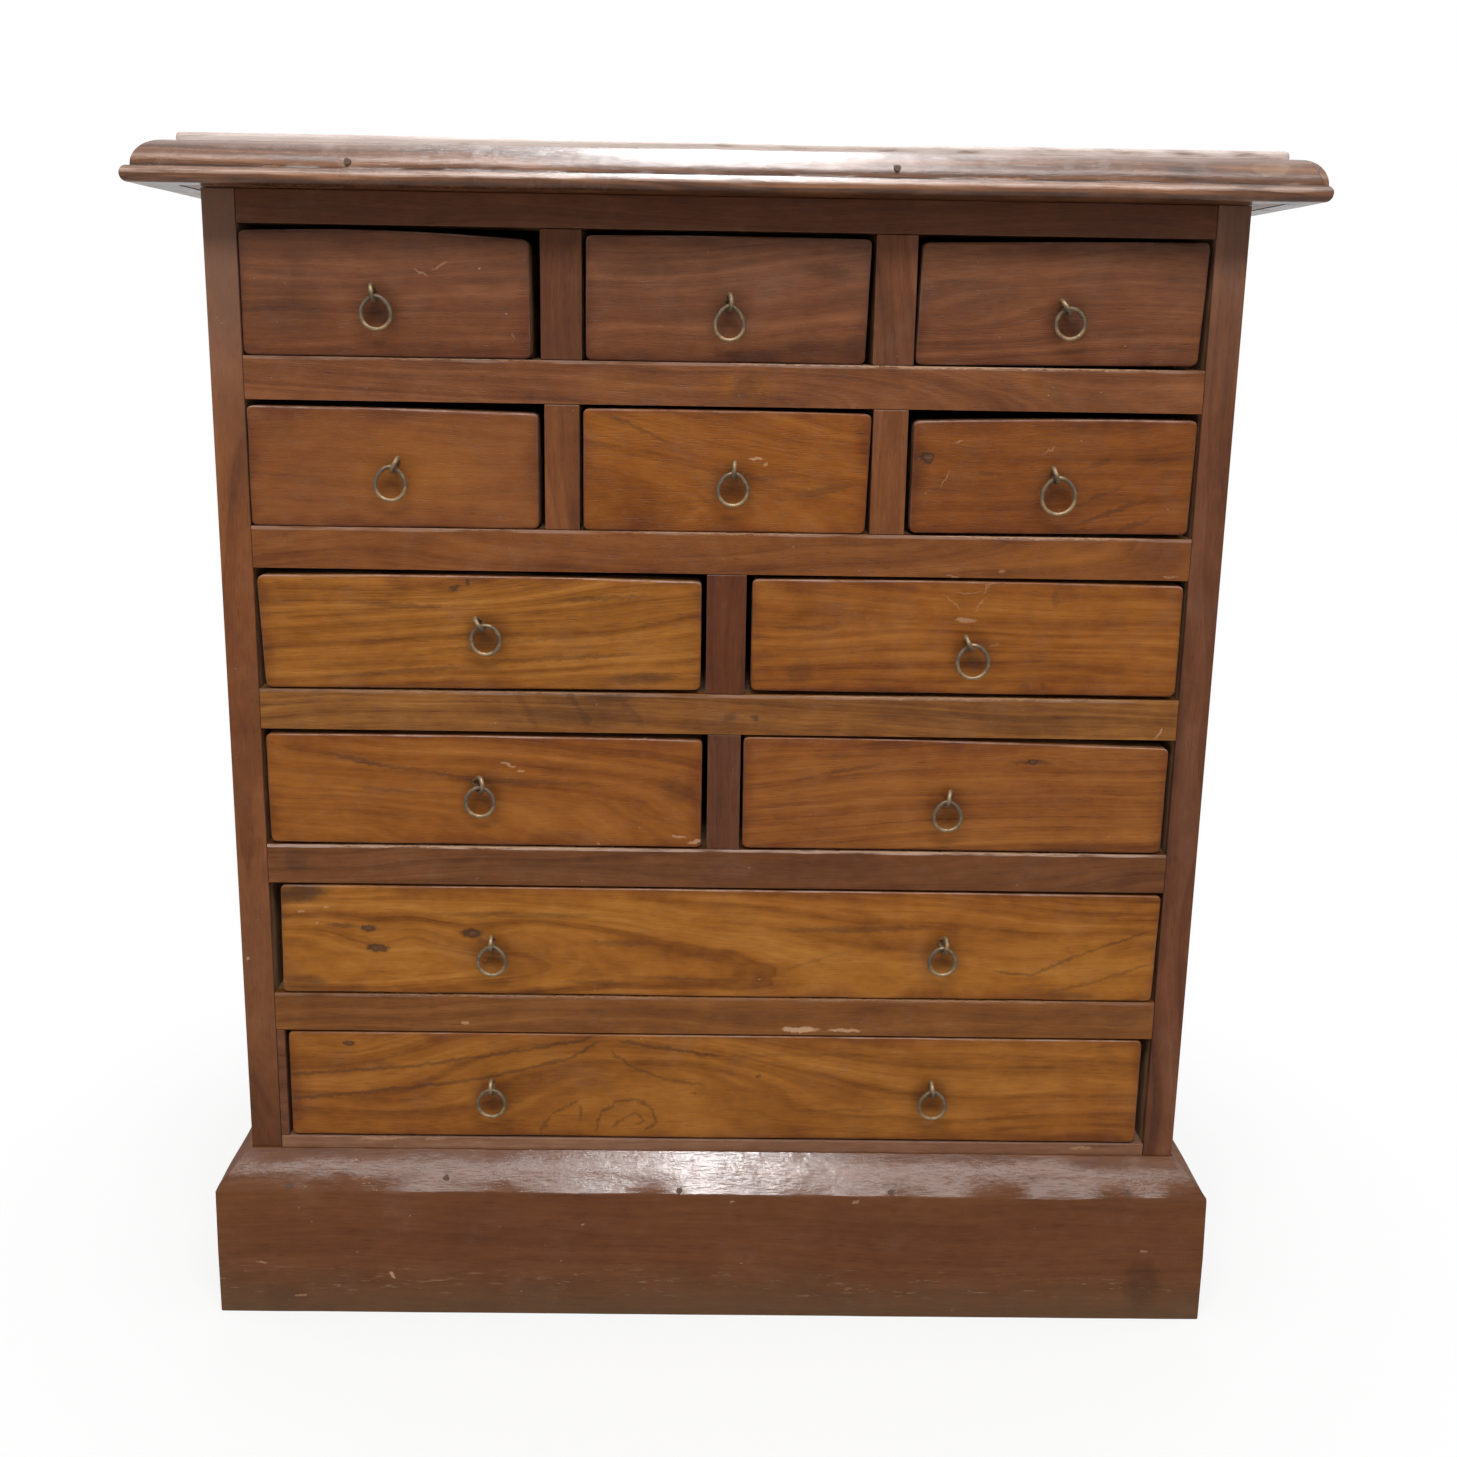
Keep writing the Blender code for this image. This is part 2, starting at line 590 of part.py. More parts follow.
def ring_hinge(pull, place):
    """Where the ring's wire rests, over the lowest edge of an eye that may lean over and be bent aside."""
    tilt, bend = math.radians(pull.tilt), math.radians(pull.bend)
    rim = EYE_INNER_RADIUS * math.cos((math.pi - EYE_NECK_ANGLE) / EYE_LOOP_STEPS)
    edge = EYE_WIRE_HALF_WIDTH * max(-1, min(1, tilt / EDGE_REST_ANGLE))
    across = EYE_WIRE_HALF_WIDTH * math.tan(abs(bend)) + RING_WIRE_RADIUS * math.sin(abs(bend))
    lift = RING_WIRE_RADIUS + LINK_GAP + rim - math.sqrt(rim ** 2 - across ** 2)
    eye_centre = Matrix.Rotation(bend, 3, "Z") @ Vector((0, -EYE_STANDOFF, 0))
    rest = Matrix.Rotation(tilt, 3, "Y") @ (eye_centre + Vector((-edge, 0, -rim)))
    return place + rest + Vector((0, 0, lift))


def ring_outline(pull):
    """Middle line of a hand-bent ring whose top lies at the origin, with its outward directions."""
    radius = pull.size_share * RING_DIAMETER / 2 - RING_WIRE_RADIUS
    points, outwards = [], []
    for step in range(RING_STEPS):
        angle = 2 * math.pi * (step + 1 / 2) / RING_STEPS
        outward = Vector((math.sin(angle), 0, math.cos(angle)))
        drawn = Vector((0, 0, pull.drawn_share * max(math.cos(angle), 0) ** 3))
        points.append((outward + drawn) * radius)
        outwards.append(outward)
    return [point - Vector((0, 0, points[0].z)) for point in points], outwards


def make_ring(pull, place, parent, surface):
    """A ring hanging in its eye, with its origin on the wire that it swings about."""
    bm = bmesh.new()
    path, outwards = ring_outline(pull)
    frames = [(outward, Vector((0, 1, 0))) for outward in outwards]
    turns = [2 * math.pi * side / RING_SIDES for side in range(RING_SIDES)]
    section = [(RING_WIRE_RADIUS * math.cos(turn), RING_WIRE_RADIUS * math.sin(turn)) for turn in turns]
    sweep(bm, path, frames, section, closed=True)
    ring = add_object("ring_" + pull.name, bm, surface, ring_hinge(pull, place))
    ring.parent = parent
    shade_round(ring)


def shade_round(obj):
    """Smooth shading that keeps the edges sharper than a wire's facets."""
    obj.data.shade_smooth()
    obj.data.set_sharp_from_angle(angle=WIRE_SMOOTH_ANGLE)


def make_drawers(wood, brass):
    for bay in bays():
        drawer = make_drawer(bay, wood)
        for pull in (item for item in PULL_SHARES if item.drawer == bay.name):
            make_eye(pull, pull_place(pull, bay), drawer, brass)
            make_ring(pull, pull_place(pull, bay), drawer, brass)


def build():
    clear_scene()
    frame, front, back, brass = frame_teak(), front_teak(), back_board(), aged_brass()
    for side in (-1, 1):
        make_side_panel(side, frame)
    make_shelves(frame)
    make_top_rail(frame)
    make_dividers(frame)
    make_filler_strip(frame)
    make_back_panel(back)
    make_top_board(frame)
    make_top_moulding(frame)
    make_plinth(frame)
    make_drawers(front, brass)


build()
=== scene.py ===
"""Teak chest of twelve drawers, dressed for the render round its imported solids.

Lengths are in metres, in the frame of the solids: +Z up, the drawers open towards -Y.
"""

import json
import math
from functools import partialmethod

import bmesh
import bpy
import numpy
from mathutils import Matrix, Vector, noise

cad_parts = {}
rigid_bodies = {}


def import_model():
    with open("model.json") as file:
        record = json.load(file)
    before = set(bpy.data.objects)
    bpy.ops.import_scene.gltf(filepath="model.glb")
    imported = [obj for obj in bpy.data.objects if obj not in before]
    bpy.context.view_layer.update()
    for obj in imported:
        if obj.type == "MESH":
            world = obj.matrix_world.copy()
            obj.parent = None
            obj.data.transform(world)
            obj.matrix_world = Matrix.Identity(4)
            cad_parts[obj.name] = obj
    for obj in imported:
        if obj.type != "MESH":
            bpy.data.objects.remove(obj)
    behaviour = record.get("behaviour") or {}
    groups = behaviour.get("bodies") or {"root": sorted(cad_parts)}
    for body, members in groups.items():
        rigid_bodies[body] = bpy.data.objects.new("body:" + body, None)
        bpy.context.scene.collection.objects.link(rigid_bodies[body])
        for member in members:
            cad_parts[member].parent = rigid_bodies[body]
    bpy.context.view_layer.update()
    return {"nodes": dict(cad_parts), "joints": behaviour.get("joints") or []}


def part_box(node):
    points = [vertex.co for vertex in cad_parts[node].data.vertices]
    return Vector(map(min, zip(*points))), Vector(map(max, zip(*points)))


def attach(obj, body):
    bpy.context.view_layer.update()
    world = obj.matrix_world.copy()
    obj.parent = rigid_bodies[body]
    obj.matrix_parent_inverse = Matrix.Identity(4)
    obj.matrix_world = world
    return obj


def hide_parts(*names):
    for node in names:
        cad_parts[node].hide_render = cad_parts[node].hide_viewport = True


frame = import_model()
nodes = frame["nodes"]
joints = {joint["name"]: joint for joint in frame["joints"]}

# Planes of the chest, read from its solids
FRONT_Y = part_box("side_panel_left")[0].y
BACK_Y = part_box("back_panel")[1].y
INNER_HALF = -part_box("side_panel_left")[1].x
SIDE_THICKNESS = 0.019
CARCASE_HALF = INNER_HALF + SIDE_THICKNESS

# Sizes of the drawers, the mitred runs and the nails
FRONT_THICKNESS = 0.018
FRONT_EASE = 0.0016
DRAWER_SIDE = 0.009
DRAWER_ARRIS = 0.0007
DRAWER_BACK_DROP = 0.0005
BOTTOM_UNDERSIDE = 0.003
BOTTOM_TOP = 0.008
LOW_CORNER = 0.0036
HIGH_CORNER = 0.0042
CORNER_STEPS = 8
OUTLINE_STEP = 0.008
RUN_STEP = 0.006
PLINTH_HEIGHT = 0.108
PLINTH_ARRIS = 0.087
PLINTH_PROJECTION = 0.020
PLINTH_LAND = 0.0015
NAIL_RADIUS = 0.0020


def tones(*thousandths):
    """A wood's dark, middle and light tone, from thousandths of linear red, green and blue."""
    values = [value / 1000 for value in thousandths]
    return tuple(values[:3]), tuple(values[3:6]), tuple(values[6:])


# The woods
RED_FRAME = tones(80, 24, 8, 146, 48, 14, 215, 78, 28)
DULL_RED = tones(66, 22, 9, 118, 40, 16, 172, 65, 30)
ROW_1_RED = tones(66, 19, 6, 132, 42, 13, 200, 73, 27)
DARK_RED = tones(56, 18, 8, 92, 31, 12, 132, 50, 22)
PLINTH_RED = tones(78, 26, 8, 125, 45, 15, 172, 68, 27)
DIVIDER_RED = tones(52, 14, 4, 88, 24, 7, 122, 36, 13)
MOULDING_BROWN = tones(58, 21, 8, 132, 51, 21, 240, 108, 52)
RED_RAIL = tones(85, 22, 4, 162, 51, 10, 228, 82, 20)
OLIVE_RAIL = tones(85, 26, 4, 160, 55, 10, 228, 86, 20)
PATCHY_RAIL = tones(90, 28, 4, 188, 70, 12, 300, 124, 26)
DARK_RAIL = tones(62, 18, 4, 122, 41, 10, 182, 67, 22)
WORN_STRIP = tones(110, 45, 20, 190, 88, 45, 290, 155, 90)
RED_BROWN = tones(108, 31, 8, 178, 57, 13, 238, 84, 22)
DEEP_RED = tones(80, 20, 2, 164, 46, 5, 236, 75, 12)
MID_BROWN = tones(115, 31, 3, 210, 67, 9, 285, 106, 19)
AMBER = tones(115, 29, 1, 216, 67, 6, 305, 111, 17)
GOLDEN = tones(120, 34, 1, 240, 82, 8, 338, 134, 22)
BRIGHT_GOLDEN = tones(124, 35, 1, 262, 91, 8, 372, 154, 26)
RAW_WOOD = tones(200, 105, 48, 330, 190, 95, 430, 270, 150)
DARK_MARK = (0.022, 0.010, 0.005)
PALE_CHIP = (0.480, 0.290, 0.165)
# Pale of worn arrises, which also stands for a painted highlight on arrises facing up
WORN_AND_LIT = (0.360, 0.235, 0.180)


class Net:
    """The node tree of a material or a world, with a short call for each kind of node."""

    def __init__(self, name, owner=None):
        self.owner = owner or bpy.data.materials.new(name)
        self.owner.use_nodes = True
        self.tree = self.owner.node_tree
        self.shader = self.tree.nodes.get("Principled BSDF")

    def put(self, socket, value):
        if isinstance(value, bpy.types.NodeSocket):
            self.tree.links.new(value, socket)
        elif value is not None:
            socket.default_value = value

    def add(self, kind, values=(), **settings):
        node = self.tree.nodes.new(kind)
        for key, value in settings.items():
            setattr(node, key, value)
        for index, value in values:
            self.put(node.inputs[index], value)
        return node

    def surface(self, colour, roughness, normal, metallic=None, specular=None):
        """Put the looks on the shader, and give its material."""
        for socket, value in (("Base Color", colour), ("Roughness", roughness), ("Normal", normal),
                              ("Metallic", metallic), ("Specular IOR Level", specular)):
            self.put(self.shader.inputs[socket], value)
        return self.owner

    def math(self, operation, first, second=None, third=None):
        values = [(0, first), (1, second), (2, third)]
        return self.add("ShaderNodeMath", values, operation=operation).outputs[0]

    plus = partialmethod(math, "ADD")
    minus = partialmethod(math, "SUBTRACT")
    muladd = partialmethod(math, "MULTIPLY_ADD")
    most = partialmethod(math, "MAXIMUM")
    over = partialmethod(math, "GREATER_THAN")

    def times(self, first, *others):
        for other in others:
            first = self.math("MULTIPLY", first, other)
        return first

    def off(self, value, middle=0.0):
        """How far a value is from a middle."""
        return self.math("ABSOLUTE", self.minus(value, middle))

    def swing(self, value, source, span):
        """A value moved by a source about its middle, over a span."""
        return self.plus(value, self.muladd(source, span, -0.5 * span))

    def vector(self, operation, first, second=None):
        node = self.add("ShaderNodeVectorMath", [(0, first), (1, second)], operation=operation)
        return node.outputs[1 if operation == "LENGTH" else 0]

    def split(self, vector):
        return tuple(self.add("ShaderNodeSeparateXYZ", [(0, vector)]).outputs)

    def join(self, x, y, z):
        return self.add("ShaderNodeCombineXYZ", [(0, x), (1, y), (2, z)]).outputs[0]

    def noise(self, vector, scale, detail=2.0, roughness=0.5, colour=False):
        """Noise at one scale, or at one for each axis."""
        if isinstance(scale, tuple):
            vector, scale = self.vector("MULTIPLY", vector, scale), 1.0
        values = [("Vector", vector), ("Scale", scale), ("Detail", detail), ("Roughness", roughness)]
        return self.add("ShaderNodeTexNoise", values).outputs[1 if colour else 0]

    def ease(self, value, low, high, start=0.0, end=1.0):
        """Smooth step of a value from start at low to end at high."""
        values = [(0, value), (1, low), (2, high), (3, start), (4, end)]
        return self.add("ShaderNodeMapRange", values, interpolation_type="SMOOTHSTEP").outputs[0]

    def ramp(self, value, tones, margin):
        """Three tones, the first up to a margin and the last from as far below 1."""
        node = self.add("ShaderNodeValToRGB", [(0, value)])
        elements = node.color_ramp.elements
        elements.new(0.5)
        for element, place, tone in zip(elements, (margin, 0.5, 1 - margin), tones):
            element.position = place
            element.color = (*tone, 1.0)
        return node.outputs[0]

    def mix(self, share, first, second, blend="MIX"):
        node = self.add("ShaderNodeMix", data_type="RGBA", blend_type=blend)
        for index, value in ((0, share), (6, first), (7, second)):
            self.put(node.inputs[index], (*value, 1.0) if isinstance(value, tuple) else value)
        return node.outputs[2]

    def stain(self, colour, share, tint, strength=1.0):
        """A colour darkened by a tint over a share."""
        return self.mix(self.times(share, strength), colour, tint, "MULTIPLY")

    def bump(self, height, distance, strength=1.0, normal=None):
        values = [("Height", height), ("Distance", distance), ("Strength", strength), ("Normal", normal)]
        return self.add("ShaderNodeBump", values).outputs[0]

    def place(self):
        return self.add("ShaderNodeTexCoord").outputs["Object"]

    def normal(self):
        return self.add("ShaderNodeNewGeometry").outputs["Normal"]

    def seen(self):
        """1 for what the camera sees, in metal and glass too, and 0 for light on the object."""
        rays = self.add("ShaderNodeLightPath").outputs
        seen = self.most(rays["Is Camera Ray"], rays["Is Glossy Ray"])
        return self.most(seen, rays["Is Transmission Ray"])


def spot(net, point, centre, radii, turn=0.0, soft=0.35):
    """Mask of an ellipsoid about a centre, 1 inside and 0 outside, turned about Y."""
    node = net.add("ShaderNodeMapping", [(0, point)], vector_type="TEXTURE")
    for index, value in ((1, centre), (2, (0.0, turn, 0.0)), (3, radii)):
        node.inputs[index].default_value = value
    return net.ease(net.vector("LENGTH", node.outputs[0]), 1.0, soft)


def mark_spot(net, point, mark, plane, soft=0.35, size=1.0, depth=0.012):
    """Mask of a mark given as x, z, half length and half height in mm, and a turn in degrees."""
    x, z, along, up, turn = mark[:5]
    radii = tuple(value * size for value in (along / 1000, depth, up / 1000))
    return spot(net, point, (x / 1000, plane, z / 1000), radii, -math.radians(turn), soft)


def line_marks(points, half_width, share):
    """Marks along a line through points of x and z in mm."""
    marks = []
    for (x0, z0), (x1, z1) in zip(points, points[1:]):
        run, rise = x1 - x0, z1 - z0
        marks.append(((x0 + x1) / 2, (z0 + z1) / 2, 0.75 * math.hypot(run, rise), half_width,
                      math.degrees(math.atan2(rise, run)), share))
    return marks


def teak(name, tones, seed=0.0, grain="X", pith=(0.03, 0.0), slope=0.03, tilt=0.0, ring=0.007,
         contrast=1.0, knots=(), swells=(), tints=(), darks=(), chips=(), trims=(), pulls=(),
         plane=FRONT_Y, polished=None, board=None, seams=None, cells=None, rim=None, haze=None,
         shine=0.40, gloss=0.14, worn=True, dust=0.3, dust_and_sheen=0.0, foot=0.0, lumps=0.0007, dents=0.0,
         relief_share=1.0):
    """Waxed teak with growth rings about a pith, fibres, pores, marks, and worn arrises with a painted
    highlight on those facing up.

    polished, board and seams are functions that take the net and the point and give masks: where the
    wax reaches, where the grain runs along Y, and where boards meet. The marks lie at y = plane.
    """
    net = Net(name)
    point = net.place()
    x, y, z = net.split(point)
    local = net.join(*{"X": (x, y, z), "Z": (z, y, x)}[grain])
    if board:
        local = net.mix(board(net, point), local, net.join(y, x, z))
    shift = (seed * 1.37, seed * 0.73, seed * 0.51)
    moved = net.vector("ADD", point, shift)
    seeded = net.vector("ADD", local, shift)
    along, across, up = net.split(local)
    if cells:
        cell = net.math("FLOOR", net.math("DIVIDE", net.minus(x, cells[0]), cells[1]))
        seeded = net.vector("ADD", seeded, net.join(0.0, net.times(cell, 3.1), 0.0))
        across = net.muladd(cell, 0.045, across)

    # Growth rings about a pith that wanders
    drift_x, drift_y, drift_z = net.split(net.noise(seeded, (2.6, 10.0, 10.0), colour=True))
    ripple = net.noise(seeded, (13.0, 75.0, 75.0))
    deep = net.plus(across, net.times(along, slope))
    deep = net.plus(deep, net.muladd(drift_x, 0.05, pith[0] - 0.025 - FRONT_Y))
    high = net.plus(up, net.times(along, tilt))
    high = net.plus(high, net.muladd(drift_y, 0.05, -0.025 - pith[1]))
    radius = net.muladd(ripple, 0.0035, net.vector("LENGTH", net.join(0.0, deep, high)))
    for knot in knots:
        radius = net.muladd(mark_spot(net, point, knot, plane, 0.0, 5.5), knot[5], radius)
    for *place, rise in swells:
        radius = net.muladd(mark_spot(net, point, (*place, 0), plane, 0.0, depth=1.0), rise, radius)
    turns = net.math("DIVIDE", radius, ring)
    values = [("W", net.plus(turns, seed * 7.0)), ("Scale", 1.0), ("Detail", 3.0), ("Roughness", 0.6)]
    bands = net.add("ShaderNodeTexNoise", values, noise_dimensions="1D").outputs[0]
    late = net.math("POWER", net.math("FRACT", turns), 5.0)

    # Fibres and pores along the grain
    flow = net.join(net.split(seeded)[0], radius, seed * 0.37)
    streak = net.noise(flow, (10.0, 230.0, 1.0), 3.0, 0.6)
    fleck = net.noise(flow, (30.0, 560.0, 1.0), 2.0, 0.6)
    fibre = net.noise(seeded, (45.0, 1500.0, 1500.0), 1.0)
    pores = net.ease(net.noise(seeded, (110.0, 2300.0, 2300.0), 0.0), 0.62, 0.74)
    mottle = net.noise(seeded, (85.0, 150.0, 150.0), 3.0, 0.65)
    patch = net.noise(seeded, (22.0, 40.0, 40.0), 2.0, 0.6)

    # The tone runs from 0, dark, to 1, light
    tone = net.muladd(bands, 1.5 * contrast, 0.5 - 0.75 * contrast)
    tone = net.muladd(late, -0.16 * contrast, tone)
    for source, span in ((streak, 0.30 + 0.60 * contrast), (fleck, 0.30), (fibre, 0.15), (mottle, 0.40),
                         (patch, 0.46)):
        tone = net.swing(tone, source, span)
    colour = net.ramp(tone, tones, 0.12)
    colour = net.stain(colour, net.ease(drift_z, 0.42, 0.66), (0.78, 0.62, 0.58), 0.35)
    colour = net.stain(colour, pores, (0.30, 0.22, 0.18), 0.26)
    rough = net.muladd(pores, 0.10, net.muladd(drift_y, 0.16, shine - 0.08))

    # Raw faces that no wax has reached
    if polished:
        finish = polished(net, point)
        stained = net.ease(net.noise(moved, 9.0, 4.0, 0.6), 0.40, 0.68)
        raw = net.stain(net.ramp(tone, RAW_WOOD, 0.10), stained, (0.42, 0.33, 0.27), 0.45)
        colour = net.mix(finish, raw, colour)
        rough = net.muladd(net.minus(1.0, finish), 0.32, rough)

    # Dirt kept along the edges of a front, and a grey bloom up high
    if rim:
        cx, cz, hx, hz = rim
        away = net.most(net.minus(net.off(x, cx), hx), net.minus(net.off(z, cz), hz))
        away = net.muladd(net.noise(moved, 22.0, 3.0, 0.6), 0.030, away)
        colour = net.stain(colour, net.ease(away, 0.002, 0.021), (0.66, 0.54, 0.55), 0.55)
        colour = net.stain(colour, net.ease(away, 0.008, 0.017), (0.58, 0.46, 0.46), 0.50)
    if haze:
        bloom = net.ease(net.noise(moved, (30.0, 30.0, 9.0), 3.0), 0.30, 0.65, 0.5, 1.0)
        share = net.times(net.ease(z, haze[0], haze[1]), bloom, haze[2])
        colour = net.mix(share, colour, (0.190, 0.125, 0.095))

    # Bands along an edge, of wear, painted highlight or painted shade: low, high, colour, share, and how
    # far back they go
    normal_z = net.split(net.normal())[2]
    for low, high, tint, share, back in trims:
        place = net.vector("ADD", point, (low * 90.0, shift[0], shift[1]))
        band = net.noise(place, (34.0, 34.0, 260.0), 4.0)
        edge = net.muladd(band, 0.0016, net.minus(z, 0.0008))
        inside = net.times(net.ease(edge, low - 0.0005, low + 0.0003),
                           net.ease(edge, high + 0.0005, high - 0.0003),
                           net.ease(band, 0.36, 0.58, 0.15 * share, share),
                           net.ease(normal_z, 0.98, 0.93), net.ease(y, back, back - 0.006))
        colour = net.mix(inside, colour, tint)

    # Halo round each pull, darkened by hands and by painted shadow below the ring, seams between boards,
    # and a dirty foot
    cloudy = net.noise(moved, 70.0, 3.0, 0.6)
    for px, pz in pulls:
        pull_dirt_and_shadow = spot(net, point, (px, FRONT_Y, pz - 0.009), (0.018, 0.010, 0.019), soft=0.30)
        pull_dirt_and_shadow = net.times(pull_dirt_and_shadow, net.ease(cloudy, 0.30, 0.65, 0.35, 0.62))
        colour = net.stain(colour, pull_dirt_and_shadow, (0.30, 0.22, 0.18))
    if seams:
        colour = net.mix(net.times(seams(net, point), 0.85), colour, DARK_MARK)
    if foot:
        share = net.times(net.ease(net.muladd(cloudy, 0.040, z), 0.062, 0.022), foot)
        colour = net.mix(share, colour, (0.100, 0.062, 0.032))
        scuff = net.ease(net.noise(seeded, (60.0, 60.0, 420.0), 4.0, 0.7), 0.60, 0.68)
        share = net.times(scuff, net.ease(z, 0.010, 0.018), net.ease(z, 0.040, 0.024), 0.45)
        colour = net.mix(share, colour, (0.300, 0.190, 0.120))

    # Marks, laid one by one from the lists
    ragged = net.vector("SUBTRACT", net.noise(moved, 190.0, 3.0, 0.65, colour=True), (0.5, 0.5, 0.5))
    frayed = net.vector("ADD", point, net.vector("MULTIPLY", ragged, (0.010, 0.0, 0.0045)))

    def laid(mark, soft, strength, size=1.0):
        return net.times(mark_spot(net, frayed, mark, plane, soft, size), strength)

    for mark in tints:
        orange = net.mix(tone, (0.170, 0.052, 0.005), (0.330, 0.112, 0.015))
        colour = net.mix(laid(mark, 0.0, mark[5]), colour, orange)
    for mark in darks:
        colour = net.mix(laid(mark, 0.35, mark[5]), colour, net.mix(0.30, DARK_MARK, colour))
    for knot in knots:
        colour = net.mix(laid(knot, 0.5, 0.80), colour, DARK_MARK)
        colour = net.mix(laid(knot, 0.4, 0.65, 0.5), colour, (0.120, 0.052, 0.018))
    chipped = 0.0
    for mark in chips:
        share = laid(mark, 0.6, 0.75 * mark[5])
        colour = net.mix(share, colour, PALE_CHIP)
        chipped = net.most(chipped, share)

    # Worn arrises, where the face isn't square to the chest, paler where they face up as a painted
    # highlight, and scattered nicks
    nx, ny, nz = net.split(net.vector("ABSOLUTE", net.normal()))
    square = net.most(nx, net.most(ny, nz))
    patchy = net.noise(moved, 38.0, 4.0, 0.7)
    if worn:
        rubbed_and_lit = net.times(net.ease(square, 0.985, 0.80), net.ease(patchy, 0.36, 0.62, 0.15, 0.75),
                           net.ease(normal_z, 0.05, 0.60, 0.20, 1.0),
                           net.ease(net.noise(moved, 11.0), 0.38, 0.58, 0.20, 1.0))
        colour = net.mix(rubbed_and_lit, colour, WORN_AND_LIT)
        rough = net.plus(rough, net.ease(square, 0.985, 0.90, 0.0, 0.07))
    nick = net.ease(net.noise(moved, (260.0, 260.0, 420.0)), 0.735, 0.78)
    nick = net.times(nick, net.ease(patchy, 0.50, 0.62))
    colour = net.mix(net.times(nick, 0.55), colour, PALE_CHIP)
    dusty = net.ease(patchy, 0.50, 0.78, 0.0, dust)
    colour = net.mix(net.times(dusty, 0.30), colour, (0.20, 0.15, 0.12))
    rough = net.most(net.muladd(dusty, 0.25, rough), net.ease(nx, 0.45, 0.70, 0.0, 0.78))

    # Pale film on faces that look up and out: dust, and a painted sheen of the light from above
    if dust_and_sheen:
        share = net.times(net.ease(normal_z, 0.30, 0.58), net.ease(patchy, 0.25, 0.70, dust_and_sheen * 0.75, dust_and_sheen))
        colour = net.mix(share, colour, (0.300, 0.190, 0.155))

    # Relief: a hand-planed face, then grain
    normal = net.bump(net.noise(seeded, (9.0, 26.0, 26.0)), lumps, 0.55)
    if dents:
        normal = net.bump(net.noise(seeded, (90.0, 150.0, 150.0), 3.0, 0.55), dents, 0.8, normal)
    relief = net.muladd(pores, -0.9, net.times(tone, 0.6))
    relief = net.plus(relief, net.times(fibre, 0.45))
    relief = net.muladd(chipped, -2.0, net.muladd(nick, -1.2, relief))
    normal = net.bump(relief, 0.00016 * relief_share, 0.65, normal)
    return net.surface(colour, rough, normal, specular=gloss)


def wax_to_depth(depth):
    """Wax on the front and a little way in, with an uneven edge."""
    def mask(net, point):
        edge = net.muladd(net.noise(point, 60.0, 3.0, 0.6), depth, net.split(point)[1])
        return net.ease(edge, FRONT_Y + depth * 1.5, FRONT_Y + depth)
    return mask


def wax_outside(net, point):
    """Wax on the front edge and the outer face of a side panel."""
    outer = net.ease(net.off(net.split(point)[0]), INNER_HALF + 0.0085, INNER_HALF + 0.0095)
    return net.most(outer, wax_to_depth(0.006)(net, point))


def drawer_sides(left, right):
    """Where a drawer's boards run front to back."""
    def mask(net, point):
        x, y, z = net.split(point)
        beside = net.over(net.off(x, (left + right) / 2), (right - left) / 2 - DRAWER_SIDE - 0.0002)
        return net.times(beside, net.over(y, FRONT_Y + FRONT_THICKNESS))
    return mask


def past_mitre(net, point):
    """How far a point of a mitred run is past the mitre, towards the chest's side."""
    x, y, z = net.split(point)
    return net.plus(net.minus(net.off(x), CARCASE_HALF), net.minus(y, FRONT_Y))


def along_mitres(net, point):
    """Where a mitred run turns to the chest's sides."""
    return net.over(past_mitre(net, point), 0.0)


def mitre_lines(net, point):
    """The thin joint where two mitred runs meet."""
    return net.ease(net.off(past_mitre(net, point)), 0.00045, 0.00012)


def board_joints(*places):
    """Glued joints along a top or a side, at the given y."""
    def mask(net, point):
        found = 0.0
        for place in places:
            found = net.most(found, net.ease(net.off(net.split(point)[1], place), 0.00040, 0.00010))
        return found
    return mask


def dress(node, material):
    """Give a solid its material on every slot."""
    for slot in nodes[node].material_slots:
        slot.material = material


def soften(node, width, segments=2):
    """Merge the split corners of a solid and round its arrises."""
    obj = nodes[node]
    weld = obj.modifiers.new("weld", "WELD")
    weld.merge_threshold = 0.00001
    flat = obj.modifiers.new("flat", "DECIMATE")
    flat.decimate_type = "DISSOLVE"
    flat.angle_limit = math.radians(0.5)
    arris = obj.modifiers.new("arris", "BEVEL")
    arris.width = width
    arris.segments = segments
    arris.limit_method = "ANGLE"
    arris.angle_limit = math.radians(25)
    arris.use_clamp_overlap = True
    arris.miter_outer = "MITER_ARC"
    even = obj.modifiers.new("even", "WEIGHTED_NORMAL")
    even.keep_sharp = True


def brass(name, seed, swing_height):
    """Old brass: brown patina, brighter on the eye and low on the ring, from finger wear and a painted
    highlight.
    """
    net = Net(name)
    point = net.place()
    fall = net.minus(swing_height, net.split(point)[2])
    # Painted highlight, with finger wear: brighter on the eye and low on the ring than on the ring's top
    # under the eye
    finger_wear_and_highlight = net.plus(net.ease(fall, 0.0080, 0.0175), net.ease(fall, 0.0010, -0.0030, 0.0, 0.8))
    point = net.vector("ADD", point, (seed, seed * 0.7, seed * 0.3))
    cloud = net.noise(point, 260.0, 3.0, 0.6)
    fine = net.noise(point, 1900.0, 2.0, 0.6)
    rubbed_and_lit = net.muladd(finger_wear_and_highlight, 0.26, net.muladd(fine, 0.3, cloud))
    rubbed_and_lit = net.ease(rubbed_and_lit, 0.60, 1.00)
    colour = net.mix(rubbed_and_lit, (0.070, 0.044, 0.021), (0.205, 0.130, 0.062))
    rough = net.ease(rubbed_and_lit, 0.0, 1.0, 0.66, 0.55)
    metallic = net.ease(rubbed_and_lit, 0.0, 1.0, 0.25, 0.52)
    return net.surface(colour, rough, net.bump(net.plus(cloud, fine), 0.00006, 0.6), metallic)


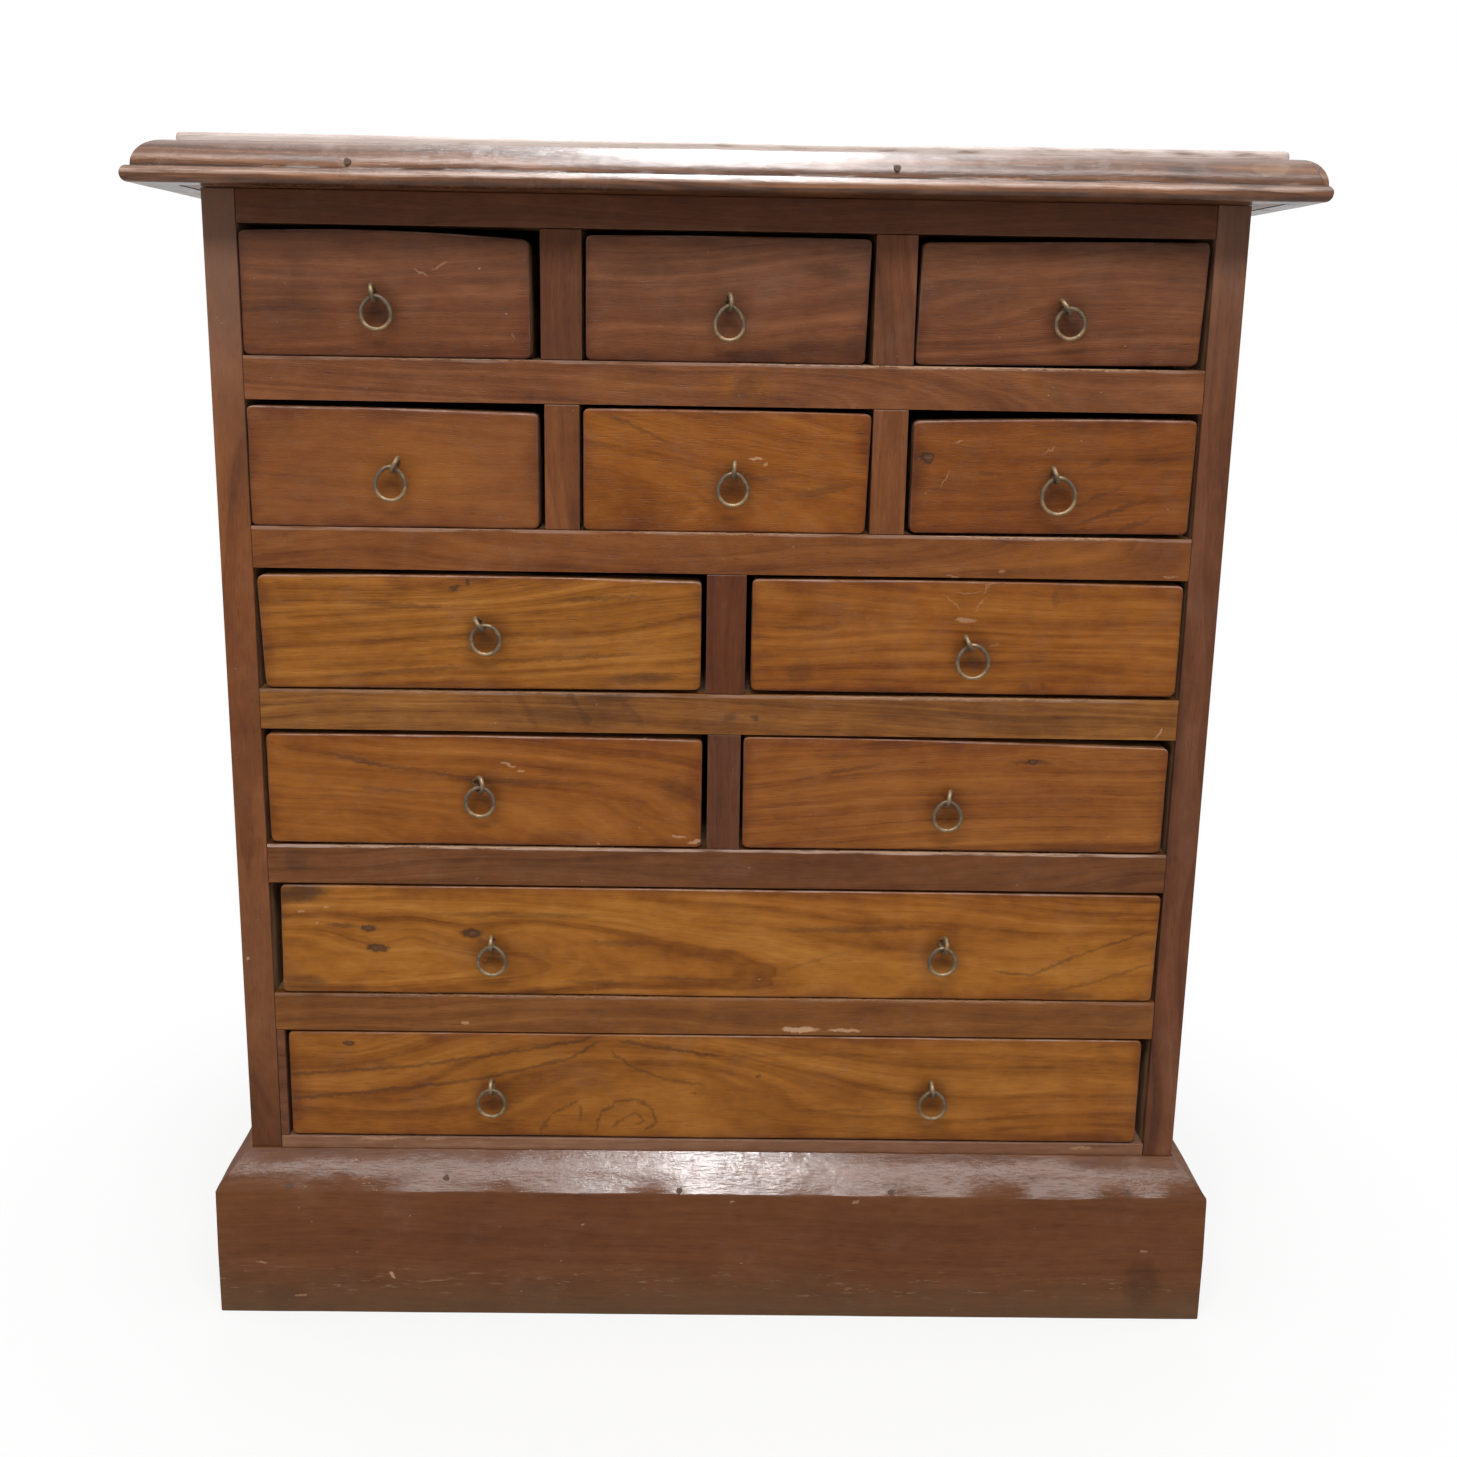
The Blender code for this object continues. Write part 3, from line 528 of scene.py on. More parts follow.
def dark_fill(name, scale, dark, light, roughness, gloss=None):
    """Uneven dark wax, as round the pins and over the nails."""
    net = Net(name)
    cloud = net.noise(net.place(), scale, 3.0, 0.6)
    return net.surface(net.mix(cloud, dark, light), roughness, net.bump(cloud, 0.0001, 0.8), specular=gloss)


# Where each pull enters its drawer
PULL_PLACES = []
for joint in frame["joints"]:
    if joint["name"].startswith("ring_"):
        drawer = joint["parent"].removesuffix("_box")
        PULL_PLACES.append((drawer, joint["pos_m"][0], joint["pos_m"][2] + 0.003))

# The drawers, each from its own board
FRONTS = {
    "drawer_1_left": dict(
        tones=ROW_1_RED, haze=(0.61, 0.7, 0.2), seed=1.1, pith=(0.09, 0.7), slope=0.04, ring=0.005,
        contrast=0.5,
        darks=[(-255, 634, 40, 20, 0, 0.4), (-246, 668, 14, 6, 0, 0.25)],
        chips=[(-165, 663, 6, 0.8, 25, 0.35), (-176, 659, 5, 0.7, -30, 0.35)]),
    "drawer_1_middle": dict(
        tones=ROW_1_RED, haze=(0.61, 0.7, 0.2), seed=2.3, pith=(0.07, 0.6), slope=-0.05, ring=0.007,
        contrast=0.6,
        darks=[(-50, 664, 34, 8, 0, 0.4), (59, 663, 18, 6, -6, 0.55), (76, 622, 10, 8, 0, 0.5),
            (-30, 640, 46, 12, 0, 0.25)]),
    "drawer_1_right": dict(
        tones=ROW_1_RED, haze=(0.61, 0.7, 0.2), seed=3.7, pith=(0.08, 0.72), slope=0.05, ring=0.006,
        contrast=0.5,
        darks=[(133, 659, 24, 2.5, 3, 0.5), (150, 648, 40, 10, 0, 0.18)]),
    "drawer_2_left": dict(
        tones=RED_BROWN, seed=4.2, pith=(0.05, 0.46), slope=0.05, ring=0.009, contrast=0.25,
        tints=[(-186, 545, 66, 34, 0, 0.55)],
        darks=[(-262, 570, 26, 12, 0, 0.22), (-200, 577, 60, 6, 0, 0.18)]),
    "drawer_2_middle": dict(
        tones=AMBER, seed=5.6, pith=(0.035, 0.52), slope=0.08, tilt=0.1, ring=0.008, contrast=0.42,
        darks=[(-50, 572, 30, 1.8, -24, 0.55), (60, 538, 22, 4, 8, 0.45), (30, 545, 34, 1.6, 6, 0.4),
            (-20, 530, 40, 1.5, 5, 0.3)],
        chips=[(19, 556, 6, 0.9, 5, 0.7), (25, 553, 3, 0.8, 30, 0.6)]),
    "drawer_2_right": dict(
        tones=DEEP_RED, seed=6.4, pith=(0.04, 0.6), slope=-0.06, tilt=-0.12, ring=0.009, contrast=0.35,
        knots=[(120, 558, 5.2, 4.4, 0, 0.006)],
        darks=[(157, 549.5, 8, 2.0, 0, 0.5), (221, 556, 14, 2.4, 24, 0.35), (230, 527, 32, 2.2, 20, 0.6),
            (241, 518, 24, 2.0, 22, 0.5), (222, 536, 26, 1.3, 24, 0.4), (205, 515, 30, 2.2, 6, 0.4),
            (112, 548, 12, 18, 0, 0.3)],
        chips=[(131, 546, 7, 0.6, 60, 0.35), (138, 568, 3, 0.7, 20, 0.4), (192, 563, 5, 0.6, 40, 0.4)]),
    "drawer_3_left": dict(
        tones=GOLDEN, seed=7.9, pith=(0.045, 0.385), slope=0.0, tilt=-0.07, ring=0.008, contrast=0.6,
        swells=[(-165, 480, 110, 34, 0.01)],
        darks=[(-161, 476.5, 6, 2.2, 25, 1.0), (-152.5, 480, 3.0, 2.0, 70, 1.0),
            (-192, 465, 36, 2.4, -3, 0.6), (-72, 471, 40, 2.2, 3, 0.6), (-50, 422, 28, 5.0, 3, 0.65),
            (-100, 434, 70, 2.0, 4, 0.5), (-190, 425, 60, 2.2, 5, 0.5), (-130, 443, 60, 1.4, 6, 0.35)]),
    "drawer_3_right": dict(
        tones=AMBER, seed=8.3, pith=(0.04, 0.5), slope=-0.03, ring=0.01, contrast=0.6,
        darks=[(50, 455, 26, 2.0, 0, 0.5), (48, 428, 12, 10, 20, 0.4), (201, 475, 3, 8, 12, 0.4),
            (186, 421, 5, 3, 0, 0.45), (197, 421, 3, 3, 0, 0.45), (20, 437, 22, 5, 0, 0.3)],
        chips=[(147, 461, 7, 1.8, 0, 0.5), (139, 472, 9, 0.6, -40, 0.3), (156, 471, 9, 0.6, 55, 0.3),
            (150, 478, 14, 0.6, 5, 0.2), (160, 481, 8, 0.6, 50, 0.25), (166, 446, 4, 0.6, 30, 0.2)]),
    "drawer_4_left": dict(
        tones=AMBER, seed=9.5, pith=(0.07, 0.27), slope=0.03, tilt=0.07, ring=0.008, contrast=0.5,
        darks=[(-224, 369, 30, 2.2, -13, 0.55), (-190, 363, 60, 2.0, -8, 0.4),
            (-207, 350, 26, 1.7, -6, 0.5), (-26, 352, 16, 12, -20, 0.4), (-100, 322, 22, 4, 0, 0.35),
            (-120, 356, 70, 2.2, -2, 0.4)],
        chips=[(-130, 367, 5, 1.1, -25, 0.6), (-122, 363, 3, 1.0, 10, 0.6), (-14, 319, 6, 1.2, 10, 0.7),
            (-25, 322, 5, 0.9, -10, 0.6), (-45, 385, 3, 0.9, 20, 0.6)]),
    "drawer_4_right": dict(
        tones=MID_BROWN, seed=10.8, pith=(0.035, 0.4), slope=-0.05, tilt=-0.05, ring=0.007, contrast=0.6,
        knots=[(193.5, 373, 5.5, 1.8, 0, 0.005)],
        darks=[(193, 373, 18, 2.4, 0, 0.55), (82, 367, 26, 2.0, 10, 0.45), (60, 362, 24, 1.8, 12, 0.35)]),
    "drawer_5": dict(
        tones=BRIGHT_GOLDEN, seed=11.4, pith=(0.03, 0.235), slope=0.035, tilt=0.02, ring=0.009,
        contrast=0.7,
        knots=[(-219.5, 259, 6.4, 3.0, 0, 0.003), (-214, 246, 9.0, 3.4, 0, 0.003),
            (-154.5, 256.5, 8.5, 4.4, 0, 0.005)],
        darks=[(-262, 282, 24, 9, 6, 1.0), (-236, 260.5, 15, 2.4, 0, 0.7), (-262, 222, 18, 9, 0, 0.6),
            (-148, 251, 5, 3.5, -20, 0.5),
            *line_marks([(178, 235), (200, 232.6), (231, 247), (275, 263.5)], 1.5, 0.6),
            *line_marks([(212, 221), (240, 228), (275, 241)], 1.8, 0.45), (225, 219, 24, 3, 0, 0.5),
            (-127, 269, 76, 2.4, 0, 0.45), (-60, 251, 28, 3.2, 0, 0.5), (-78, 224.5, 30, 2.2, 0, 0.45),
            (85, 262, 66, 3.0, 2, 0.55), (60, 240, 30, 1.4, 18, 0.3), (-30, 228, 60, 1.6, -2, 0.35)],
        chips=[(-262, 270, 3, 1.2, 0, 0.5), (-246, 273, 2, 1.0, 0, 0.5), (-252, 262, 2.5, 1, 0, 0.4)]),
    "drawer_6": dict(
        tones=GOLDEN, seed=12.7, pith=(0.06, 0.08), slope=0.0, tilt=0.0, ring=0.01, contrast=0.48,
        swells=[(-58, 180, 200, 85, -0.026)],
        knots=[(-234, 181, 4.5, 2.2, 0, 0.004)],
        darks=[*line_marks([(-281, 158), (-236, 162), (-194, 165.5), (-155, 172), (-119, 178),
                (-93, 183), (-77, 187)], 1.9, 0.66),
            *line_marks([(-281, 141), (-236, 146), (-194, 151), (-155, 156.5), (-119, 165),
                (-93, 172), (-74, 184)], 2.0, 0.64),
            *line_marks([(-61, 185), (-41, 181), (-19, 178), (1, 174)], 1.7, 0.55),
            *line_marks([(-67, 178), (-54, 167), (-32, 158), (-9, 155)], 1.7, 0.55),
            *line_marks([(-113, 118), (-106, 132), (-94, 139), (-88, 143)], 1.5, 0.6),
            (-87, 134, 1.8, 8, 0, 0.55),
            *line_marks([(-77, 121), (-74, 134), (-64, 142), (-51, 144), (-41, 139), (-37, 128),
                (-45, 121)], 1.6, 0.62),
            *line_marks([(-66, 124), (-58, 131), (-50, 134), (-45, 129), (-52, 126)], 1.4, 0.55),
            (-14, 148.8, 2.2, 1.6, 0, 0.6), (28, 161, 2.4, 1.8, 0, 0.7), (86, 138, 44, 1.6, 3, 0.4),
            (60, 176, 90, 1.4, 1, 0.3), (-20, 178, 60, 1.4, -7, 0.35)]),
}

# Rails, boards and uprights
BOARDS = {
    "side_panel_left": dict(
        tones=RED_FRAME, haze=(0.5, 0.7, 0.45), seed=21.3, grain="Z", pith=(-0.1, -0.28), ring=0.01,
        contrast=0.7, polished=wax_outside, seams=board_joints(0.021), foot=0.5,
        chips=[(-295.7, 237.5, 1.6, 1.4, 0, 0.7)],
        darks=[(-290, 190, 30, 150, 0, 0.34)]),
    "side_panel_right": dict(
        tones=DULL_RED, haze=(0.56, 0.7, 0.3), seed=22.9, grain="Z", pith=(-0.06, 0.33), ring=0.01,
        contrast=0.7, polished=wax_outside, seams=board_joints(-0.004), foot=0.5,
        darks=[(292, 400, 30, 190, 0, 0.22)]),
    "top_rail": dict(
        tones=DARK_RED, seed=23.1, pith=(0.06, 0.62), contrast=0.4),
    "shelf_1": dict(
        tones=RED_FRAME, seed=24.4, pith=(0.03, 0.57), slope=0.08, contrast=0.7, worn_and_lit_edge=0.35,
        tints=[(10, 597, 34, 12, 0, 0.6), (185, 598, 26, 8, -35, 0.4), (-60, 598, 36, 10, 0, 0.3)],
        darks=[(12, 598, 14, 9, 40, 0.6), (190, 597, 20, 6, -30, 0.35), (-60, 600, 24, 4, 0, 0.3)],
        chips=[(150, 610.6, 128, 0.8, 0, 0.75), (-150, 610.7, 60, 0.5, 0, 0.4),
            (30, 610.8, 40, 0.7, 0, 0.6)]),
    "shelf_2": dict(
        tones=RED_RAIL, seed=25.2, pith=(0.05, 0.52), contrast=0.55, worn_and_lit_edge=0.35,
        tints=[(205, 499, 66, 12, 0, 0.55), (-150, 500, 60, 12, 0, 0.2)],
        chips=[(140, 487, 5, 0.8, -20, 0.35), (168, 491, 3, 1.0, 0, 0.35), (270, 489, 6, 0.8, 0, 0.4),
            (190, 511.6, 84, 0.8, 0, 0.75), (0, 511.6, 80, 0.7, 0, 0.5), (-150, 511.7, 40, 0.5, 0, 0.35)]),
    "shelf_3": dict(
        tones=PATCHY_RAIL, seed=26.8, pith=(0.03, 0.36), contrast=0.62, worn_and_lit_edge=0.3,
        darks=[(-86, 402, 50, 14, 0, 0.42), *line_marks([(-126, 413), (-117, 402), (-113, 391)], 3.2, 0.3),
            *line_marks([(-93, 413), (-86, 403), (-80, 392)], 3.6, 0.5), (-66, 410, 18, 3.5, 0, 0.65),
            *line_marks([(-62, 409), (-52, 400), (-47, 391)], 3.0, 0.35), (120, 408, 170, 4, 0, 0.3),
            (6, 399, 7, 4, 0, 0.6), (21.3, 398.5, 4, 3.4, 0, 0.8), (170, 398, 100, 12, 0, 0.28)],
        chips=[(270, 392, 4, 1.6, 60, 0.5), (140, 412.5, 120, 0.8, 0, 0.45),
            (-130, 412.6, 110, 0.6, 0, 0.35)]),
    "shelf_4": dict(
        tones=DARK_RAIL, seed=27.5, pith=(0.05, 0.33), contrast=0.7, worn_and_lit_edge=0.85,
        darks=[(0, 300, 260, 10, 0, 0.25), (-262, 302, 12, 9, 0, 0.5)],
        chips=[(-150, 313.6, 118, 0.9, 0, 0.7), (140, 313.6, 124, 0.9, 0, 0.65)]),
    "shelf_5": dict(
        tones=OLIVE_RAIL, seed=28.6, pith=(0.05, 0.24), contrast=0.5, worn_and_lit_edge=0.2,
        chips=[(54, 193.8, 14, 2.4, 0, 1.0), (83, 193.5, 12, 1.6, 0, 0.8), (-160, 196, 2, 1.2, 0, 0.6),
            (-120, 214.6, 130, 0.6, 0, 0.4), (130, 214.6, 130, 0.6, 0, 0.35)],
        darks=[(262, 203, 18, 10, 0, 0.3)]),
    # The bottom board's film is dust and a painted sheen where its front arris faces the light
    "bottom_board": dict(
        tones=WORN_STRIP, seed=29.4, pith=(0.05, 0.16), contrast=0.6, dust_and_sheen=0.3, dust=0.8,
        chips=[(-215, 114.5, 20, 1.2, 1, 0.5), (-180, 114.5, 9, 1.0, 1, 0.4), (240, 113, 8, 1.2, 0, 0.5)]),
    "filler_strip": dict(
        tones=DULL_RED, seed=37.7, pith=(0.05, 0.2), contrast=0.5, dust=0.9),
}
for name, wood, seed, pith_x, contrast in (
        ("divider_1_left", DARK_RED, 31.1, -0.15, 0.45), ("divider_1_right", DULL_RED, 32.2, 0.05, 0.5),
        ("divider_2_left", RED_FRAME, 33.3, -0.15, 0.6), ("divider_2_right", RED_FRAME, 34.4, 0.05, 0.6),
        ("divider_3", DIVIDER_RED, 35.5, 0.06, 0.4), ("divider_4", DARK_RED, 36.6, -0.06, 0.5)):
    BOARDS[name] = dict(tones=wood, seed=seed, grain="Z", pith=(0.05, pith_x), contrast=contrast)
BOARDS["divider_3"]["darks"] = [(14, 425, 3, 18, 0, 0.5)]
for name, look in BOARDS.items():
    look.setdefault("polished", wax_to_depth(0.012))
    # A pale band on a rail's top arris: wear, and a painted highlight of the light from above
    worn_and_lit_edge = look.pop("worn_and_lit_edge", 0.0)
    if worn_and_lit_edge:
        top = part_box(name)[1].z
        look["trims"] = [(top - 0.0017, top + 0.001, (0.400, 0.270, 0.210), worn_and_lit_edge, FRONT_Y + 0.008)]
    dress(name, teak(name + "_teak", **look))
    soften(name, 0.0006)

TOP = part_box("top_board")[1].z
# Top board: the pale bands along its front arris are wear and a painted highlight of glare from above, and
# its film is dust and a painted sheen
dress("top_board", teak("top_board_teak", RED_FRAME, seed=41.2, pith=(0.05, 0.62), ring=0.012, contrast=0.9,
                        shine=0.38, dust=0.4, gloss=0.28, relief_share=0.6, dust_and_sheen=0.10,
                        seams=board_joints(-0.062, 0.071),
                        trims=[(TOP - 0.0060, TOP + 0.001, (0.60, 0.50, 0.45), 0.85, FRONT_Y + 0.004),
                               (TOP - 0.0056, TOP + 0.001, (0.62, 0.53, 0.48), 0.80, FRONT_Y + 0.004)]))
soften("top_board", 0.0024, 5)

# Pulls: name, lean and aside bend of the eye in degrees, size share and drawn share of the ring
PULLS = (
    ("1_left", -10, 0, 0.99, 0.14), ("1_middle", 0, 12, 0.96, 0.30), ("1_right", -35, 0, 0.96, 0.06),
    ("2_left", 26, 0, 1.02, 0.20), ("2_middle", 4, 0, 1.0, 0.16), ("2_right", -20, 0, 1.12, 0.16),
    ("3_left", -35, 0, 0.99, 0.04), ("3_right", -28, 0, 1.07, 0.16), ("4_left", 0, 31, 1.0, 0.10),
    ("4_right", 5, -12, 0.97, 0.20), ("5_left", 0, 0, 0.99, 0.16), ("5_right", 6, 12, 0.96, 0.14),
    ("6_left", 0, 0, 1.0, 0.08), ("6_right", -5, 0, 0.97, 0.18),
)
RING_DIAMETER = 0.020
RING_WIRE_RADIUS = 0.0013
ROUND_WIRE_RADIUS = 0.00122
SOLID_RING_STEPS = 20
RING_STEPS = 72
WIRE_SIDES = 14
EYE_INNER_RADIUS = 0.0042
EYE_WIRE_THICKNESS = 0.0015
EYE_WIRE_HALF_WIDTH = 0.00135
EYE_STANDOFF = 0.0078
EYE_LEG_GAP = 0.0003
EYE_LEG_SPREAD = 0.011
EYE_BEND_RADIUS = 0.0022
EYE_NECK_ANGLE = math.radians(50)
EYE_LOOP_STEPS = 10
EDGE_REST_ANGLE = math.radians(20)
SEAT = 0.0003
LINK_GAP = 0.0004


def new_piece(name, bm, materials, body, smooth_angle):
    """A mesh object from a bmesh, riding on a body."""
    bmesh.ops.recalc_face_normals(bm, faces=bm.faces)
    mesh = bpy.data.meshes.new(name)
    bm.to_mesh(mesh)
    bm.free()
    for material in materials:
        mesh.materials.append(material)
    obj = bpy.data.objects.new(name, mesh)
    bpy.context.scene.collection.objects.link(obj)
    mesh.shade_smooth()
    mesh.set_sharp_from_angle(angle=math.radians(smooth_angle))
    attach(obj, body)
    return obj


def skin(bm, rings, looped=False, slots=None):
    """Faces between rings of vertices, back to the first if looped, or else with both ends capped."""
    for here, there in zip(rings, rings[1:] + rings[:1] if looped else rings[1:]):
        for place in range(len(here)):
            after = (place + 1) % len(here)
            face = bm.faces.new((here[place], here[after], there[after], there[place]))
            if slots:
                face.material_index = slots[place]
    if not looped:
        bm.faces.new(rings[0])
        bm.faces.new(rings[-1])


def round_angles(count):
    """Angles of even steps round a circle."""
    return [2 * math.pi * step / count for step in range(count)]


def blend(a, b, share):
    """The point a share of the way from a to b, in x and z."""
    return a[0] + (b[0] - a[0]) * share, a[1] + (b[1] - a[1]) * share


def arc(centre, radii, start, end, steps, *extra):
    """Points along an elliptical arc, each with the extra values."""
    points = []
    for step in range(steps + 1):
        angle = start + (end - start) * step / steps
        x, z = centre[0] + radii[0] * math.cos(angle), centre[1] + radii[1] * math.sin(angle)
        points.append((x, z, *extra))
    return points


def unevenness(place, scale, seed):
    """Smooth value from 0 to 1 along a run."""
    return 0.5 + 0.5 * max(-1.0, min(1.0, 1.6 * noise.noise(Vector((place * scale, seed, 0.5)))))


def mitred_run(name, node, profile, base_z, materials, right_profile=None):
    """A moulded run along the front and back along both sides, mitred and slightly uneven.

    Each profile point is (projection, height, unevenness, material of the face above it), and the
    right side may have projections of its own.
    """
    bm = bmesh.new()
    half, depth = CARCASE_HALF, BACK_Y - FRONT_Y
    side_steps, front_steps = int(depth / RUN_STEP) + 1, int(2 * half / RUN_STEP) + 1
    places = [(-1, t) for t in numpy.linspace(0, 1, side_steps)]
    places += [(0, t) for t in numpy.linspace(0, 1, front_steps)[1:-1]]
    places += [(1, t) for t in numpy.linspace(1, 0, side_steps)]
    stations = []
    for side, t in places:
        if side == 0 or t == 1:
            travel = (t if side == 0 else max(side, 0)) * 2 * half
        else:
            travel = side * (10.0 + (1 - t) * depth)
        station = []
        for index, (out, height, rough, slot) in enumerate(profile):
            sunk = out - rough * unevenness(travel, 34.0, index * 0.15)
            raised = height - rough * 0.8 * unevenness(travel, 21.0, 7.0 + index * 0.15)
            aside = sunk + (right_profile[index][0] - out if right_profile else 0)
            if side == 0:
                x, y = -half - sunk + t * (2 * half + sunk + aside), FRONT_Y - sunk
            else:
                x, y = side * (half + (aside if side > 0 else sunk)), BACK_Y + (FRONT_Y - sunk - BACK_Y) * t
            station.append(bm.verts.new((x, y, base_z + raised)))
        stations.append(station)
    skin(bm, stations, slots=[point[3] for point in profile])
    run = new_piece(name, bm, materials, "carcase", 32)
    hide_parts(node)


def rounded_box(bm, low, high, radius):
    """A board between two corners with rounded arrises."""
    low, high = Vector(low), Vector(high)
    place = Matrix.Translation((low + high) / 2) @ Matrix.Diagonal((*(high - low), 1))
    made = bmesh.ops.create_cube(bm, size=1, matrix=place)
    edges = list({edge for vert in made["verts"] for edge in vert.link_edges})
    bmesh.ops.bevel(bm, geom=edges, offset=radius, segments=3, profile=0.5, affect="EDGES")


def crossing(a, b, c, d):
    """Where the line through a and b meets the line through c and d."""
    (ax, az), (bx, bz), (cx, cz), (dx, dz) = a, b, c, d
    across = (bx - ax) * (dz - cz) - (bz - az) * (dx - cx)
    return blend(a, b, ((cx - ax) * (dz - cz) - (cz - az) * (dx - cx)) / across)


def front_outline(name, seed):
    """Outline of a worn drawer front with rounded corners, from the ring of its solid."""
    low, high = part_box(name)
    middle = (low + high) / 2
    ring = {(round(v.co.x, 6), round(v.co.z, 6)) for v in nodes[name].data.vertices
            if abs(v.co.y - FRONT_Y - FRONT_EASE) < 0.0001}
    ring = sorted(ring, key=lambda p: math.atan2(p[1] - middle.z, p[0] - middle.x))
    high_right = crossing(ring[1], ring[2], ring[5], ring[6])
    high_left = crossing(ring[-5], ring[-4], ring[-1], ring[0])
    corners = [ring[0], ring[1], high_right] + ring[6:-4] + [high_left]
    cuts = [LOW_CORNER + 0.0016 * unevenness(seed, 3.3, side) for side in (1.0, 2.0)]
    cuts += [max(HIGH_CORNER, math.dist(high_right, ring[5]))]
    cuts += [1.0] * (len(ring) - 10) + [max(HIGH_CORNER, math.dist(high_left, ring[-4]))]
    outline = []
    for index, (corner, cut) in enumerate(zip(corners, cuts)):
        ends = []
        for other in (corners[index - 1], corners[(index + 1) % len(corners)]):
            length = math.dist(corner, other)
            ends.append(blend(corner, other, min(cut, 0.45 * length) / length))
        for step in range(CORNER_STEPS + 1):
            t = step / CORNER_STEPS
            weights = ((1 - t) ** 2, 2 * t * (1 - t), t ** 2)
            outline.append(tuple(sum(w * p[axis] for w, p in zip(weights, (ends[0], corner, ends[1])))
                                 for axis in (0, 1)))
    filled = []
    for here, there in zip(outline, outline[1:] + outline[:1]):
        count = max(1, round(math.dist(here, there) / OUTLINE_STEP))
        filled += [blend(here, there, step / count) for step in range(count)]
    return filled


def add_front(bm, outline, seed):
    """A front board with hand-worn edges."""
    xs, zs = zip(*outline)
    x0, x1, z0, z1 = min(xs), max(xs), min(zs), max(zs)
    # The face is flat from this far in
    aside, below, above = 0.008, 0.007, 0.009
    flat = [(min(max(x, x0 + aside), x1 - aside), min(max(z, z0 + below), z1 - above)) for x, z in outline]
    loops = [[bm.verts.new((x, FRONT_Y, z)) for x, z in flat]]
    # Each ring's inset and its depth as shares of the wear there, and a depth that all have
    rings = [(1.25, 0.0, 0.00010)]
    for turn in map(math.radians, (10, 30, 50, 70, 90)):
        rings.append((1 - math.sin(turn), 1 - math.cos(turn), 0.00014))
    rings += [(0.0, 0.0, FRONT_THICKNESS - 0.0008), (0.4, 0.0, FRONT_THICKNESS)]
    for inset, share, depth in rings:
        loop = []
        for place, (x, z) in enumerate(outline):
            (bx, bz), (ax, az) = outline[place - 1], outline[(place + 1) % len(outline)]
            worn = 0.0010 + 0.0011 * unevenness(x + 2 * z, 24.0, seed)
            sunk = inset * worn / math.dist((ax, az), (bx, bz))
            y = FRONT_Y + depth + share * worn
            loop.append(bm.verts.new((x - (az - bz) * sunk, y, z - (bx - ax) * sunk)))
        loops.append(loop)
    skin(bm, loops)
    bmesh.ops.remove_doubles(bm, verts=loops[0], dist=0.00001)


def make_drawer(name, look, index):
    """A front, two sides, a back and a raised bottom."""
    bm = bmesh.new()
    add_front(bm, front_outline(name, index), index)
    behind = [v.co for v in nodes[name].data.vertices if v.co.y > FRONT_Y + 0.1]
    left, right = min(v.x for v in behind), max(v.x for v in behind)
    floor, top, far = min(v.z for v in behind), max(v.z for v in behind), max(v.y for v in behind)
    near = FRONT_Y + FRONT_THICKNESS
    inner_left, inner_right, inner_far = left + DRAWER_SIDE, right - DRAWER_SIDE, far - DRAWER_SIDE
    for low, high in (((left, near, floor), (inner_left, far, top)),
                      ((inner_right, near, floor), (right, far, top)),
                      ((inner_left, inner_far, floor), (inner_right, far, top - DRAWER_BACK_DROP)),
                      ((inner_left, near, floor + BOTTOM_UNDERSIDE),
                       (inner_right, inner_far, floor + BOTTOM_TOP))):
        rounded_box(bm, low, high, DRAWER_ARRIS)
    low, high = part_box(name)
    middle, half = (low + high) / 2, (high - low) / 2
    wood = teak(name + "_teak", polished=wax_to_depth(0.004), board=drawer_sides(left, right),
                pulls=[place for drawer, *place in PULL_PLACES if drawer == name],
                rim=(middle.x, middle.z, half.x, half.z), **look)
    drawer = new_piece("boards_of_" + name, bm, [wood], name + "_box", 35)
    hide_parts(name)


def sweep(bm, path, frames, section, closed):
    """A tube of one section along a path, each frame holding its outward and sideways axes."""
    rings = []
    for point, (outward, sideways) in zip(path, frames):
        rings.append([bm.verts.new(point + outward * a + sideways * b) for a, b in section])
    skin(bm, rings, closed)


def eye_path(bend):
    """The wire's flat side, from one splayed leg round the eye to the other, with its side axes."""
    flat_y = FRONT_THICKNESS + SEAT + EYE_WIRE_THICKNESS
    leg = EYE_LEG_GAP / 2
    centre = (flat_y - EYE_BEND_RADIUS, leg + EYE_BEND_RADIUS)
    half = [(flat_y, EYE_LEG_SPREAD)]
    half += arc(centre, (EYE_BEND_RADIUS, EYE_BEND_RADIUS), 0, -math.pi / 2, 8)
    half.append((0, leg))
    loop = arc((-EYE_STANDOFF, 0), (EYE_INNER_RADIUS, EYE_INNER_RADIUS), EYE_NECK_ANGLE,
               2 * math.pi - EYE_NECK_ANGLE, 44)
    path, sides = [], []
    for y, z in half + loop + [(y, -z) for y, z in reversed(half)]:
        angle = bend if y < 0 else bend / 2 if y == 0 else 0
        aside = Matrix.Rotation(angle, 3, "Z")
        path.append(aside @ Vector((0, y, z)))
        sides.append(aside @ Vector((1, 0, 0)) / math.cos(bend / 2 if y == 0 else 0))
    return path, sides


